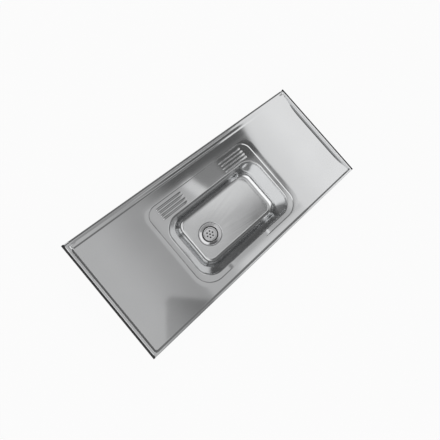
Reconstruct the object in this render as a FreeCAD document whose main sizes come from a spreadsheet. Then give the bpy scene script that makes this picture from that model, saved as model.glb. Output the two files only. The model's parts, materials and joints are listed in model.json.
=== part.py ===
"""Lay-on kitchen sink top, 1200 x 540 mm: two drainboards, one drawn bowl and a basket strainer waste.

Frame: millimetres, +Z up, +X along the drainboards, +Y towards the wall. The origin is the centre of
the seat plane, where the folded skirts rest on the base unit.
"""
import FreeCAD, Part
import math
import os
import re

import Sketcher

doc = FreeCAD.newDocument("sink_top")

# ---------------------------------------------------------------- driving dimensions
SIZES = [
    ("overall_length", 1200, "over both end seals"),
    ("deck_width", 540, "front to back"),
    ("skirt_height", 30, "rim top above the seat plane"),
    ("sheet_gauge", 1, "stainless sheet"),
    ("return_width", 15, "inward fold at the foot of the skirts, over its outside"),
    ("edge_bend", 4, "outside radius of the folded edge"),
    ("seal_width", 8, "rubber end seal, along X"),
    ("seal_round", 3, "upper outer edge of the end seal"),
    ("seal_drop", 1, "end seal below the rim top"),
    ("seal_groove", 1.2, "radius of the end seal's grip grooves"),
    ("rim_side", 12, "flat rim at both ends"),
    ("rim_front", 8, "flat rim at the front"),
    ("rim_rear", 34, "flat rim at the wall side"),
    ("tray_depth", 7, "drainboards below the rim"),
    ("tray_corner", 14, "corner radius of the tray at the rim"),
    ("field_left", -304, "left edge of the sunk field round the bowl"),
    ("field_right", 247, "right edge of the sunk field"),
    ("field_front", -223, "front edge of the sunk field"),
    ("field_rear", 184, "rear edge of the sunk field"),
    ("field_corner_front", 76, "corner radius of the sunk field, front"),
    ("field_corner_rear", 50, "corner radius of the sunk field, rear"),
    ("field_depth", 2.5, "sunk field below the drainboards"),
    ("slope_angle", 45, "pressed slopes, from the vertical"),
    ("bead_round", 2, "outside radius along the top of a pressed slope"),
    ("foot_round", 3, "radius along the foot of a pressed slope"),
    ("bowl_left", -279, "left edge of the bowl opening"),
    ("bowl_right", 224, "right edge of the bowl opening"),
    ("bowl_front", -197, "front edge of the bowl opening"),
    ("bowl_rear", 97, "rear edge of the bowl opening"),
    ("bowl_corner", 68, "corner radius of the bowl opening"),
    ("lip_round", 5, "radius from the sunk field into the bowl"),
    ("collar_height", 10, "plunged collar below the sunk field, down to the weld"),
    ("bowl_depth", 150, "sunk field to the waste seat"),
    ("lean_left", 34, "how far the left wall leans in, top to bottom"),
    ("lean_right", 20, "right wall"),
    ("lean_front", 22, "front wall"),
    ("lean_rear", 5, "rear wall"),
    ("floor_corner", 56, "corner radius where walls and floor would meet"),
    ("floor_round", 25, "inside radius between walls and floor"),
    ("floor_fall", 7, "floor's fall from its edge to the waste seat"),
    ("floor_flat", 3, "level strip between the floor's round and its fall"),
    ("waste_x", -140, "waste axis"),
    ("waste_y", -52, "waste axis"),
    ("rib_count", 4, "soap ribs in a group"),
    ("rib_length", 116, "soap rib"),
    ("rib_width", 10, "soap rib"),
    ("rib_height", 2.6, "soap rib above the sunk field"),
    ("rib_round", 2.4, "crown radius of a soap rib"),
    ("rib_pitch", 16, "between soap ribs"),
    ("rib_first_y", 116, "axis of the foremost soap rib"),
    ("rib_offset_x", 173.5, "middle of each rib group from the bowl's middle"),
    ("channel_height", 14, "hat channel under a drainboard"),
    ("channel_crown", 30, "hat channel's crown, outside"),
    ("channel_flange", 12, "hat channel's spot-weld flange"),
    ("channel_bend", 2, "hat channel's bends, outside"),
    ("channel_end_gap", 34, "hat channel's ends to the front and rear rims"),
    ("channel_end_inset", 72, "outer channels' middle from the deck's ends"),
    ("channel_field_left", 56, "inner left channel's middle from the sunk field"),
    ("channel_field_right", 83, "inner right channel's middle from the sunk field"),
    ("pad_thickness", 3, "sound deadening pads"),
    ("pad_margin", 6, "pads to their neighbours"),
    ("pad_end_gap", 35, "drainboard pads' ends inside the channels' ends"),
    ("pad_corner", 12, "pads' corner radius"),
    ("stud_radius", 4, "coach bolt shank"),
    ("stud_hole_gap", 0.4, "channel hole round the shank, on the radius"),
    ("stud_head_radius", 9, "coach bolt head"),
    ("stud_head_height", 4, "coach bolt head"),
    ("stud_head_crown", 5.4, "coach bolt head's flat top, radius"),
    ("stud_head_edge", 1.3, "coach bolt head's upright edge"),
    ("stud_length", 50, "coach bolt under its head"),
    ("stud_chamfer", 1, "coach bolt tip"),
    ("stud_front_inset", 75, "front coach bolts from the deck's front"),
    ("stud_rear_inset", 85, "rear coach bolts from the deck's rear"),
    ("running_gap", 0.06, "turning parts round the shank, on the radius"),
    ("face_gap", 0.3, "between parts that move on each other"),
    ("rail_thickness", 18, "base unit rail that the clips grip"),
    ("rail_gap", 0.5, "clip lip under the rail"),
    ("clip_plate", 3, "clip plate"),
    ("clip_width", 22, "clip plate"),
    ("clip_reach", 44, "clip lip's outer face from the coach bolt"),
    ("clip_lip", 4, "clip lip above its plate"),
    ("nut_hub_radius", 8, "wing nut"),
    ("nut_hub_foot", 6, "wing nut's lower end, radius"),
    ("nut_hub_height", 9, "wing nut"),
    ("wing_reach", 17, "wing nut, over a wing"),
    ("wing_root", 5.6, "wings' inner ends, inside the hub"),
    ("wing_tip", 4.8, "wing tips' width"),
    ("wing_tip_round", 1.8, "wing tips"),
    ("wing_start", 1, "wings below the hub's top, at their roots"),
    ("wing_shoulder", 6.3, "wings below the hub's top, at their tips"),
    ("wing_thickness", 3, "wing nut"),
    ("wing_rise", 4, "wing tips past the hub"),
    ("tag_width", 16, "earth tag"),
    ("tag_drop", 30, "earth tag below the drainboard"),
    ("tag_inset", 97, "earth tag from the deck's rear"),
    ("tag_plate", 1.5, "earth tag"),
    ("tag_foot", 18, "earth tag's welded foot"),
    ("tag_hole_radius", 3.25, "earth tag, for an M6 screw"),
    ("flange_radius", 57, "waste flange"),
    ("flange_edge", 2, "waste flange's thickness at its edge"),
    ("flange_crown", 52, "radius where the waste flange starts to dip"),
    ("flange_dip", 1.2, "dip of the waste flange towards its throat"),
    ("seat_gap", 1, "bowl's seat round the flange, on the radius"),
    ("seat_depth", 3, "waste seat below the floor's fall"),
    ("drain_radius", 45, "hole in the bowl's floor"),
    ("throat_radius", 40.5, "inside of the waste's throat, above the ledge"),
    ("ledge_depth", 5, "basket's ledge below the flange top"),
    ("ledge_radius", 38.5, "inside of the waste's throat, below the ledge"),
    ("neck_radius", 42.5, "threaded outside of the waste's neck"),
    ("neck_length", 34, "threaded neck under the flange"),
    ("cup_radius", 31, "waste body's lower end, inside"),
    ("cup_depth", 46, "waste body's floor below the flange top"),
    ("cup_wall", 2, "waste body's lower wall and floor"),
    ("outlet_radius", 23.9, "outlet pipe outside, G 1 1/2"),
    ("outlet_wall", 2.4, "outlet pipe"),
    ("outlet_length", 26, "outlet pipe under the waste body"),
    ("gasket_gap", 1, "gaskets' and friction washer's bore round the neck, on the radius"),
    ("gasket_thickness", 1, "gasket under the flange"),
    ("gasket_outer", 55, "gasket under the flange, radius"),
    ("lower_gasket_outer", 57, "gasket under the bowl, radius"),
    ("lower_gasket_thickness", 4, "gasket under the bowl"),
    ("washer_outer", 55, "friction washer, radius"),
    ("washer_thickness", 1.2, "friction washer"),
    ("nut_radius", 51, "lock nut"),
    ("nut_height", 9, "lock nut"),
    ("nut_lug", 5, "lock nut's lugs, past its rim"),
    ("nut_lug_root", 2, "lock nut's lugs, inside its rim"),
    ("nut_lug_width", 14, "lock nut's lugs"),
    ("nut_lugs", 6, "lock nut's lugs"),
    ("basket_rim_radius", 39.5, "basket's flat rim"),
    ("basket_bead_radius", 34, "foot of the basket's raised bead"),
    ("basket_bead_top", 0.8, "basket's bead below the flange top"),
    ("basket_bead_slope", 1, "basket's bead, from its foot to its top, on the radius"),
    ("basket_mouth", 30, "inside of the basket's bead"),
    ("basket_floor_radius", 27.5, "basket's flat floor"),
    ("basket_depth", 16, "basket's floor below the flange top"),
    ("basket_wall", 1.2, "basket's sheet"),
    ("basket_hole_radius", 4, "basket's holes"),
    ("basket_hole_circle", 15.7, "radius of the ring of holes"),
    ("basket_holes", 6, "holes in the ring, round the middle one"),
]

ALIASES = {alias for alias, value, note in SIZES}
sheet = doc.addObject("Spreadsheet::Sheet", "Sizes")
for row, (alias, value, note) in enumerate(SIZES, start=1):
    sheet.set("A%d" % row, note)
    sheet.set("B%d" % row, str(value))
    sheet.setAlias("B%d" % row, alias)
doc.recompute()


def cell(text):
    """Write a formula over the sheet's aliases as one that other objects can use."""
    return re.sub(r"[a-z][a-z_]*", lambda word: "Sizes." + word[0] if word[0] in ALIASES else word[0], text)


def size(text):
    """Value of a formula over the sheet's aliases."""
    return float(sheet.evalExpression(cell(text)))


# ---------------------------------------------------------------- sketch and feature helpers
def new_body(label):
    body = doc.addObject("PartDesign::Body", label)
    body.Label = label
    return body


def new_sketch(body, name, role="XY_Plane", offset="0"):
    """Empty sketch on one of the body's own origin planes, moved along the plane's normal."""
    sketch = body.newObject("Sketcher::SketchObject", name)
    plane = next(item for item in body.Origin.OriginFeatures if item.Role == role)
    sketch.AttachmentSupport = (plane, [""])
    sketch.MapMode = "FlatFace"
    sketch.setExpression("AttachmentOffset.Base.z", cell(offset))
    return sketch


def bind(sketch, constraint, formula):
    """Add a dimension and bind it to its formula."""
    index = sketch.addConstraint(constraint)
    sketch.setExpression("Constraints[%d]" % index, cell(formula))


def place_point(sketch, geometry, point, x_formula=None, y_formula=None):
    """Dimension a point from the sketch's origin; a zero puts it on the axis."""
    for kind, formula, axis in (("DistanceX", x_formula, -2), ("DistanceY", y_formula, -1)):
        if formula is None:
            continue
        value = size(formula)
        if abs(value) < 1e-9:
            sketch.addConstraint(Sketcher.Constraint("PointOnObject", geometry, point, axis))
        elif value > 0:
            bind(sketch, Sketcher.Constraint(kind, -1, 1, geometry, point, value), formula)
        else:
            bind(sketch, Sketcher.Constraint(kind, geometry, point, -1, 1, -value), "0 - ( %s )" % formula)


def draw_circle(sketch, x_formula, y_formula, radius_formula):
    centre = FreeCAD.Vector(size(x_formula), size(y_formula), 0)
    index = sketch.addGeometry(Part.Circle(centre, FreeCAD.Vector(0, 0, 1), size(radius_formula)))
    place_point(sketch, index, 3, x_formula, y_formula)
    bind(sketch, Sketcher.Constraint("Radius", index, size(radius_formula)), radius_formula)


def draw_polygon(sketch, corners):
    """Closed outline of straight lines, every corner dimensioned from the origin."""
    points = [FreeCAD.Vector(size(x), size(y), 0) for x, y in corners]
    first = None
    for index, start in enumerate(points):
        line = sketch.addGeometry(Part.LineSegment(start, points[(index + 1) % len(points)]))
        first = line if first is None else first
        if index:
            sketch.addConstraint(Sketcher.Constraint("Coincident", line - 1, 2, line, 1))
    sketch.addConstraint(Sketcher.Constraint("Coincident", line, 2, first, 1))
    for index, (x, y) in enumerate(corners):
        place_point(sketch, first + index, 1, x, y)


def draw_rounded_rectangle(sketch, left, right, front, back, round_front, round_back):
    """Rectangle with one corner radius at the front and one at the back, all as formulas."""
    x0, x1, y0, y1 = size(left), size(right), size(front), size(back)
    rf, rb = size(round_front), size(round_back)
    normal = FreeCAD.Vector(0, 0, 1)

    def line(ax, ay, bx, by):
        return sketch.addGeometry(Part.LineSegment(FreeCAD.Vector(ax, ay, 0), FreeCAD.Vector(bx, by, 0)))

    def arc(cx, cy, radius, start):
        circle = Part.Circle(FreeCAD.Vector(cx, cy, 0), normal, radius)
        return sketch.addGeometry(Part.ArcOfCircle(circle, start, start + math.pi / 2))

    front_line = line(x0 + rf, y0, x1 - rf, y0)
    front_right = arc(x1 - rf, y0 + rf, rf, -math.pi / 2)
    right_line = line(x1, y0 + rf, x1, y1 - rb)
    back_right = arc(x1 - rb, y1 - rb, rb, 0)
    back_line = line(x1 - rb, y1, x0 + rb, y1)
    back_left = arc(x0 + rb, y1 - rb, rb, math.pi / 2)
    left_line = line(x0, y1 - rb, x0, y0 + rf)
    front_left = arc(x0 + rf, y0 + rf, rf, math.pi)
    chain = [front_line, front_right, right_line, back_right, back_line, back_left, left_line, front_left]
    for index, piece in enumerate(chain):
        following = chain[(index + 1) % len(chain)]
        sketch.addConstraint(Sketcher.Constraint("Tangent", piece, 2, following, 1))
    for piece in (front_line, back_line):
        sketch.addConstraint(Sketcher.Constraint("Horizontal", piece))
    for piece in (right_line, left_line):
        sketch.addConstraint(Sketcher.Constraint("Vertical", piece))
    sketch.addConstraint(Sketcher.Constraint("Equal", front_right, front_left))
    sketch.addConstraint(Sketcher.Constraint("Equal", back_right, back_left))
    bind(sketch, Sketcher.Constraint("Radius", front_right, rf), round_front)
    bind(sketch, Sketcher.Constraint("Radius", back_right, rb), round_back)
    place_point(sketch, front_line, 1, None, front)
    place_point(sketch, back_line, 1, None, back)
    place_point(sketch, left_line, 1, left)
    place_point(sketch, right_line, 1, right)


def draw_slot(sketch, left, right, middle, half_width):
    """Slot with round ends along the sketch's x, between two outer x values."""
    x0, x1, y, half = size(left), size(right), size(middle), size(half_width)
    normal = FreeCAD.Vector(0, 0, 1)
    near = sketch.addGeometry(Part.LineSegment(FreeCAD.Vector(x0 + half, y - half, 0),
                                               FreeCAD.Vector(x1 - half, y - half, 0)))
    end_right = sketch.addGeometry(Part.ArcOfCircle(
        Part.Circle(FreeCAD.Vector(x1 - half, y, 0), normal, half), -math.pi / 2, math.pi / 2))
    far = sketch.addGeometry(Part.LineSegment(FreeCAD.Vector(x1 - half, y + half, 0),
                                              FreeCAD.Vector(x0 + half, y + half, 0)))
    end_left = sketch.addGeometry(Part.ArcOfCircle(
        Part.Circle(FreeCAD.Vector(x0 + half, y, 0), normal, half), math.pi / 2, 3 * math.pi / 2))
    for piece, following in ((near, end_right), (end_right, far), (far, end_left), (end_left, near)):
        sketch.addConstraint(Sketcher.Constraint("Tangent", piece, 2, following, 1))
    sketch.addConstraint(Sketcher.Constraint("Horizontal", near))
    bind(sketch, Sketcher.Constraint("Radius", end_right, half), half_width)
    place_point(sketch, end_right, 3, "%s - ( %s )" % (right, half_width), middle)
    place_point(sketch, end_left, 3, "%s + ( %s )" % (left, half_width))


def add_feature(body, kind, name, sketch, length=None, **settings):
    """Pad, pocket or revolution of a sketch; length is a formula."""
    feature = body.newObject("PartDesign::" + kind, name)
    feature.Profile = sketch
    if length is not None:
        feature.setExpression("Length", cell(length))
    for key, value in settings.items():
        setattr(feature, key, value)
    sketch.Visibility = False
    return feature


def round_edges(body, name, radius, chosen):
    """Fillet on the edges of the body's tip for which chosen(edge) is true."""
    doc.recompute()
    base = body.Tip
    names = ["Edge%d" % number for number, edge in enumerate(base.Shape.Edges, start=1) if chosen(edge)]
    feature = body.newObject("PartDesign::Fillet", name)
    feature.Base = (base, names)
    feature.setExpression("Radius", cell(radius))
    return feature


def flat_at(edge, height, slack=0.02):
    """True when an edge lies wholly at one height."""
    box = edge.BoundBox
    return abs(box.ZMin - height) < slack and abs(box.ZMax - height) < slack


def place(item, x_formula="0", y_formula="0", z_formula="0", turn="0"):
    """Move a sub-part and turn it about its own vertical axis, by formulas over the sheet."""
    item.setExpression("Placement.Base.x", cell(x_formula))
    item.setExpression("Placement.Base.y", cell(y_formula))
    item.setExpression("Placement.Base.z", cell(z_formula))
    item.Placement.Rotation = FreeCAD.Rotation(FreeCAD.Vector(0, 0, 1), float(turn))


def combine(kind, label, base, tool):
    """Cut, common or fusion of two objects as a new sub-part."""
    result = doc.addObject("Part::" + kind, label)
    result.Label = label
    result.Base = base
    result.Tool = tool
    return result


nodes = []


def keep(item):
    """Mark an object as a finished sub-part."""
    nodes.append(item)
    return item


# ---------------------------------------------------------------- levels and shared formulas
DECK_HALF_LENGTH = "( overall_length / 2 - seal_width )"
DECK_HALF_WIDTH = "( deck_width / 2 )"
TRAY_LEVEL = "( skirt_height - tray_depth )"
FIELD_LEVEL = "( skirt_height - tray_depth - field_depth )"
WELD_LEVEL = "( skirt_height - tray_depth - field_depth - collar_height )"
SEAT_LEVEL = "( skirt_height - tray_depth - field_depth - bowl_depth )"
FLOOR_LEVEL = "( skirt_height - tray_depth - field_depth - bowl_depth + seat_depth + floor_fall )"
TRAY_UNDERSIDE = "( skirt_height - tray_depth - sheet_gauge )"
BOWL_MIDDLE_X = "( ( bowl_left + bowl_right ) / 2 )"


# ---------------------------------------------------------------- deck
def deck_form(label, skin):
    """One face of the pressed deck as a solid: skin 0 is the upper face, skin sheet_gauge the lower.

    Every outline moves out by the skin, square to its wall, so the sheet between the two forms has an
    even thickness; on a slope the move is skin * tan((90 - slope) / 2).
    """
    slope_skin = "( %s * tan( ( 90 - slope_angle ) / 2 ) )" % skin
    lower = skin != "0"
    body = new_body(label)

    outline = new_sketch(body, label + "_outline", "XY_Plane", skin)
    half_length = "( %s - %s )" % (DECK_HALF_LENGTH, skin)
    half_width = "( %s - %s )" % (DECK_HALF_WIDTH, skin)
    draw_polygon(outline, [("0 - " + half_length, "0 - " + half_width), (half_length, "0 - " + half_width),
                           (half_length, half_width), ("0 - " + half_length, half_width)])
    add_feature(body, "Pad", label + "_block", outline, "skirt_height - 2 * %s" % skin)

    if lower:
        # the way in between the inward folds at the foot of the skirts
        mouth = new_sketch(body, label + "_mouth", "XY_Plane", "0 - sheet_gauge")
        mouth_length = "( %s - return_width )" % DECK_HALF_LENGTH
        mouth_width = "( %s - return_width )" % DECK_HALF_WIDTH
        draw_polygon(mouth, [("0 - " + mouth_length, "0 - " + mouth_width),
                             (mouth_length, "0 - " + mouth_width),
                             (mouth_length, mouth_width), ("0 - " + mouth_length, mouth_width)])
        add_feature(body, "Pad", label + "_mouth_pad", mouth, "3 * sheet_gauge")

    top = size("skirt_height - " + skin)
    reach = size(DECK_HALF_LENGTH)
    round_edges(body, label + "_bend", "edge_bend - " + skin, lambda edge: flat_at(edge, top))

    tray = new_sketch(body, label + "_tray", "XY_Plane", "skirt_height - " + skin)
    draw_rounded_rectangle(
        tray,
        "( 0 - {0} + rim_side - {1} )".format(DECK_HALF_LENGTH, slope_skin),
        "( {0} - rim_side + {1} )".format(DECK_HALF_LENGTH, slope_skin),
        "( 0 - {0} + rim_front - {1} )".format(DECK_HALF_WIDTH, slope_skin),
        "( {0} - rim_rear + {1} )".format(DECK_HALF_WIDTH, slope_skin),
        "( tray_corner + %s )" % slope_skin, "( tray_corner + %s )" % slope_skin)
    tray_pocket = add_feature(body, "Pocket", label + "_tray_pocket", tray, "tray_depth")
    tray_pocket.setExpression("TaperAngle", cell("0 - slope_angle"))

    field = new_sketch(body, label + "_field", "XY_Plane", "%s - %s" % (TRAY_LEVEL, skin))
    draw_rounded_rectangle(
        field, "( field_left - %s )" % slope_skin, "( field_right + %s )" % slope_skin,
        "( field_front - %s )" % slope_skin, "( field_rear + %s )" % slope_skin,
        "( field_corner_front + %s )" % slope_skin, "( field_corner_rear + %s )" % slope_skin)
    field_pocket = add_feature(body, "Pocket", label + "_field_pocket", field, "field_depth")
    field_pocket.setExpression("TaperAngle", cell("0 - slope_angle"))

    ribs = new_sketch(body, label + "_ribs", "XY_Plane", "%s - %s" % (FIELD_LEVEL, skin))
    for side in ("-", "+"):
        middle = "%s %s rib_offset_x" % (BOWL_MIDDLE_X, side)
        for index in range(int(size("rib_count"))):
            draw_slot(ribs, "( %s - rib_length / 2 + %s )" % (middle, skin),
                      "( %s + rib_length / 2 - %s )" % (middle, skin),
                      "( rib_first_y + %d * rib_pitch )" % index, "( rib_width / 2 - %s )" % skin)
    add_feature(body, "Pad", label + "_rib_pad", ribs, "rib_height")
    crown = size("%s - %s + rib_height" % (FIELD_LEVEL, skin))
    rib_zone = size("rib_first_y - rib_width")
    round_edges(body, label + "_rib_crowns", "rib_round - " + skin,
                lambda edge: flat_at(edge, crown) and edge.BoundBox.YMin > rib_zone
                and edge.BoundBox.XMax - edge.BoundBox.XMin < size("rib_length"))

    opening = new_sketch(body, label + "_opening", "XY_Plane", "%s - %s" % (FIELD_LEVEL, skin))
    draw_rounded_rectangle(
        opening, "( bowl_left - %s )" % skin, "( bowl_right + %s )" % skin,
        "( bowl_front - %s )" % skin, "( bowl_rear + %s )" % skin,
        "( bowl_corner + %s )" % skin, "( bowl_corner + %s )" % skin)
    add_feature(body, "Pocket", label + "_opening_pocket", opening, Type="ThroughAll")

    level = size("%s - %s" % (FIELD_LEVEL, skin))
    margin = size("lip_round")
    left, right = size("bowl_left") - margin, size("bowl_right") + margin
    front, rear = size("bowl_front") - margin, size("bowl_rear") + margin

    def on_lip(edge):
        box = edge.BoundBox
        return (flat_at(edge, level) and box.XMin > left and box.XMax < right
                and box.YMin > front and box.YMax < rear)

    round_edges(body, label + "_lip", "lip_round - " + skin, on_lip)

    tray_top, tray_floor = size("skirt_height - " + skin), size("%s - %s" % (TRAY_LEVEL, skin))
    edge_line = reach - size("edge_bend") - 1

    def on_bead(edge):
        box = edge.BoundBox
        inside = max(abs(box.XMin), abs(box.XMax)) < edge_line
        return flat_at(edge, tray_top) and inside and max(abs(box.YMin), abs(box.YMax)) < size(
            DECK_HALF_WIDTH + " - edge_bend - 1")

    def on_foot(edge):
        box = edge.BoundBox
        outside_field = (box.XMax < size("field_left") - 1 or box.XMin > size("field_right") + 1
                         or box.YMax < size("field_front") - 1 or box.YMin > size("field_rear") + 1)
        return flat_at(edge, tray_floor) and outside_field

    round_edges(body, label + "_bead", "bead_round - " + skin, on_bead)
    round_edges(body, label + "_foot", "foot_round + " + skin, on_foot)
    return body


upper_form = deck_form("deck_upper", "0")
lower_form = deck_form("deck_lower", "sheet_gauge")
pressing = combine("Cut", "deck_pressing", upper_form, lower_form)
collar_trim = doc.addObject("Part::Box", "collar_trim")
TRIM_MARGIN = "( 4 * sheet_gauge )"
collar_trim.setExpression("Length", cell("bowl_right - bowl_left + 2 * %s" % TRIM_MARGIN))
collar_trim.setExpression("Width", cell("bowl_rear - bowl_front + 2 * %s" % TRIM_MARGIN))
collar_trim.setExpression("Height", cell("%s + sheet_gauge" % WELD_LEVEL))
place(collar_trim, "bowl_left - %s" % TRIM_MARGIN, "bowl_front - %s" % TRIM_MARGIN, "0 - sheet_gauge")
deck = keep(combine("Cut", "deck", pressing, collar_trim))
doc.recompute()


# ---------------------------------------------------------------- bowl
def rounded_wire(left, right, front, back, radius, level):
    """Rounded rectangle at one height, eight edges from the front line on."""
    corner_centres = [(right - radius, front + radius, -90), (right - radius, back - radius, 0),
                      (left + radius, back - radius, 90), (left + radius, front + radius, 180)]
    ends = []
    arcs = []
    for x, y, start in corner_centres:
        centre = FreeCAD.Vector(x, y, level)
        at = [centre + FreeCAD.Rotation(FreeCAD.Vector(0, 0, 1), start + turn).multVec(
            FreeCAD.Vector(radius, 0, 0)) for turn in (0, 45, 90)]
        arcs.append(Part.Arc(*at).toShape())
        ends.append((at[0], at[2]))
    edges = []
    for index in range(4):
        edges.append(Part.makeLine(ends[index - 1][1], ends[index][0]))
        edges.append(arcs[index])
    return Part.Wire(edges)


def ring_wire(x, y, radius, level):
    """Circle in eight arcs that pair with the edges of a rounded rectangle."""
    centre = FreeCAD.Vector(x, y, level)

    def at(angle):
        turn = FreeCAD.Rotation(FreeCAD.Vector(0, 0, 1), angle)
        return centre + turn.multVec(FreeCAD.Vector(radius, 0, 0))

    starts = [-112.5 + 45 * index for index in range(8)]
    arcs = [Part.Arc(at(start), at(start + 22.5), at(start + 45)).toShape() for start in starts]
    return Part.Wire(arcs)


def bowl_form(skin):
    """The bowl's inside as a solid, grown by the skin: walls, floor round, fall and waste seat."""
    weld, floor = size(WELD_LEVEL), size(FLOOR_LEVEL) - skin
    left, right = size("bowl_left") - skin, size("bowl_right") + skin
    front, back = size("bowl_front") - skin, size("bowl_rear") + skin
    top = rounded_wire(left, right, front, back, size("bowl_corner") + skin, weld)
    bottom = rounded_wire(left + size("lean_left"), right - size("lean_right"),
                          front + size("lean_front"), back - size("lean_rear"),
                          size("floor_corner") + skin, floor)
    walls = Part.makeLoft([top, bottom], True, True)
    round_radius = size("floor_round") + skin
    walls = walls.makeFillet(round_radius, [edge for edge in walls.Edges if flat_at(edge, floor)])

    inset = size("floor_round") + size("floor_flat")
    rim = rounded_wire(size("bowl_left") + size("lean_left") + inset,
                       size("bowl_right") - size("lean_right") - inset,
                       size("bowl_front") + size("lean_front") + inset,
                       size("bowl_rear") - size("lean_rear") - inset,
                       size("floor_corner") - size("floor_round"), floor)
    seat_radius = size("flange_radius") + size("seat_gap") + skin
    seat_top = size(SEAT_LEVEL) + size("seat_depth") - skin
    fall = Part.makeLoft([rim, ring_wire(size("waste_x"), size("waste_y"), seat_radius, seat_top)],
                         True, True)
    seat = Part.makeCylinder(seat_radius, size("seat_depth"),
                             FreeCAD.Vector(size("waste_x"), size("waste_y"), size(SEAT_LEVEL) - skin))
    return walls.fuse([fall, seat]).removeSplitter()


gauge = size("sheet_gauge")
bowl_inside = bowl_form(0)
bowl_outside = bowl_form(gauge)
drain = Part.makeCylinder(size("drain_radius"), size("bowl_depth"),
                          FreeCAD.Vector(size("waste_x"), size("waste_y"), size(SEAT_LEVEL) - gauge * 2))
bowl = keep(doc.addObject("Part::Feature", "bowl"))
bowl.Label = "bowl"
bowl.Shape = bowl_outside.cut([bowl_inside, drain])


# ---------------------------------------------------------------- round parts
def origin_axis(body, role):
    return next(item for item in body.Origin.OriginFeatures if item.Role == role)


def revolved(label, corners):
    """Body turned from a (radius, height) outline about its own vertical axis."""
    body = new_body(label)
    outline = new_sketch(body, label + "_outline", "XZ_Plane")
    draw_polygon(outline, corners)
    turned = body.newObject("PartDesign::Revolution", label + "_turned")
    turned.Profile = outline
    turned.ReferenceAxis = (outline, ["V_Axis"])
    turned.Angle = 360
    outline.Visibility = False
    return body


def ring_pattern(body, name, original, count):
    """Repeat one feature round the body's vertical axis."""
    pattern = body.newObject("PartDesign::PolarPattern", name)
    pattern.Originals = [original]
    pattern.Axis = (origin_axis(body, "Z_Axis"), [""])
    pattern.Angle = 360
    pattern.Occurrences = int(size(count))
    body.Tip = pattern
    return pattern


# ---------------------------------------------------------------- rubber end seals
def end_seal(label, side):
    """Black strip along one end of the deck, with two grip grooves in its outer face."""
    body = new_body(label)
    section = new_sketch(body, label + "_section", "XZ_Plane", "0 - deck_width / 2")
    draw_polygon(section, [("0", "0"), ("seal_width", "0"), ("seal_width", "skirt_height - seal_drop"),
                           ("0", "skirt_height - seal_drop")])
    add_feature(body, "Pad", label + "_strip", section, "deck_width")
    doc.recompute()
    top, outer = size("skirt_height - seal_drop"), size("seal_width")
    round_edges(body, label + "_shoulder", "seal_round",
                lambda edge: flat_at(edge, top) and edge.BoundBox.XMin > outer - 0.02)
    grooves = new_sketch(body, label + "_grooves", "XZ_Plane", "0 - deck_width / 2")
    for share in (1, 2):
        draw_circle(grooves, "seal_width", "%d * ( skirt_height - seal_round ) / 3" % share, "seal_groove")
    add_feature(body, "Pocket", label + "_groove_cut", grooves, "deck_width", Reversed=True)
    place(body, "%d * %s" % (side, DECK_HALF_LENGTH), turn=0 if side > 0 else 180)
    return keep(body)


end_seal("end_seal_left", -1)
end_seal("end_seal_right", 1)


# ---------------------------------------------------------------- hat channels under the drainboards
CHANNEL_MIDDLE_Y = "( ( rim_front - rim_rear ) / 2 )"
CHANNEL_HALF_FOOT = "( channel_crown / 2 + channel_flange )"
CHANNEL_LENGTH = "( deck_width - rim_front - rim_rear - 2 * channel_end_gap )"
CHANNEL_OUTER = "( %s - channel_end_inset )" % DECK_HALF_LENGTH
CHANNEL_INNER_LEFT = "( field_left - channel_field_left )"
CHANNEL_INNER_RIGHT = "( field_right + channel_field_right )"
STUD_FRONT = "( stud_front_inset - deck_width / 2 )"
STUD_REAR = "( deck_width / 2 - stud_rear_inset )"


def hat_channel(label, middle_x, bolted):
    """Hat section, flanges welded to the tray's underside; its crown holds the coach bolts."""
    body = new_body(label)
    section = new_sketch(body, label + "_section", "XZ_Plane", "0 - %s / 2" % CHANNEL_LENGTH)
    web, inner_web = "channel_crown / 2", "( channel_crown / 2 - sheet_gauge )"
    outer = [(CHANNEL_HALF_FOOT, "0"), (CHANNEL_HALF_FOOT, "0 - sheet_gauge"), (web, "0 - sheet_gauge"),
            (web, "0 - channel_height")]
    inner = [(inner_web, "sheet_gauge - channel_height"), (inner_web, "0")]
    corners = [("0 - " + x, z) for x, z in inner[::-1]] + inner
    corners += outer + [("0 - " + x, z) for x, z in outer[::-1]]
    draw_polygon(section, corners)
    add_feature(body, "Pad", label + "_pressing", section, CHANNEL_LENGTH)
    if bolted:
        holes = new_sketch(body, label + "_holes", "XY_Plane", "0 - channel_height / 2")
        for y in (STUD_FRONT, STUD_REAR):
            draw_circle(holes, "0", "%s - %s" % (y, CHANNEL_MIDDLE_Y), "stud_radius + stud_hole_gap")
        add_feature(body, "Pocket", label + "_bolt_holes", holes, "channel_height")
    crown = -size("channel_height")
    long_edge = size(CHANNEL_LENGTH) - 1
    round_edges(body, label + "_bends", "channel_bend",
                lambda edge: flat_at(edge, crown) and edge.BoundBox.YMax - edge.BoundBox.YMin > long_edge)
    place(body, middle_x, CHANNEL_MIDDLE_Y, TRAY_UNDERSIDE)
    return keep(body)


hat_channel("channel_left_outer", "0 - " + CHANNEL_OUTER, True)
hat_channel("channel_left_inner", CHANNEL_INNER_LEFT, False)
hat_channel("channel_right_inner", CHANNEL_INNER_RIGHT, False)
hat_channel("channel_right_outer", CHANNEL_OUTER, True)


# ---------------------------------------------------------------- sound deadening pads
PAD_HALF = "( %s / 2 - pad_end_gap )" % CHANNEL_LENGTH


def tray_pad(label, left, right):
    """Bitumen pad stuck to the tray's underside between two channels."""
    body = new_body(label)
    outline = new_sketch(body, label + "_outline")
    clear = "( %s + pad_margin )" % CHANNEL_HALF_FOOT
    draw_rounded_rectangle(outline, "( %s + %s )" % (left, clear), "( %s - %s )" % (right, clear),
                           "0 - " + PAD_HALF, PAD_HALF, "pad_corner", "pad_corner")
    add_feature(body, "Pad", label + "_sheet", outline, "pad_thickness")
    place(body, "0", CHANNEL_MIDDLE_Y, "%s - pad_thickness" % TRAY_UNDERSIDE)
    return keep(body)


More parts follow.
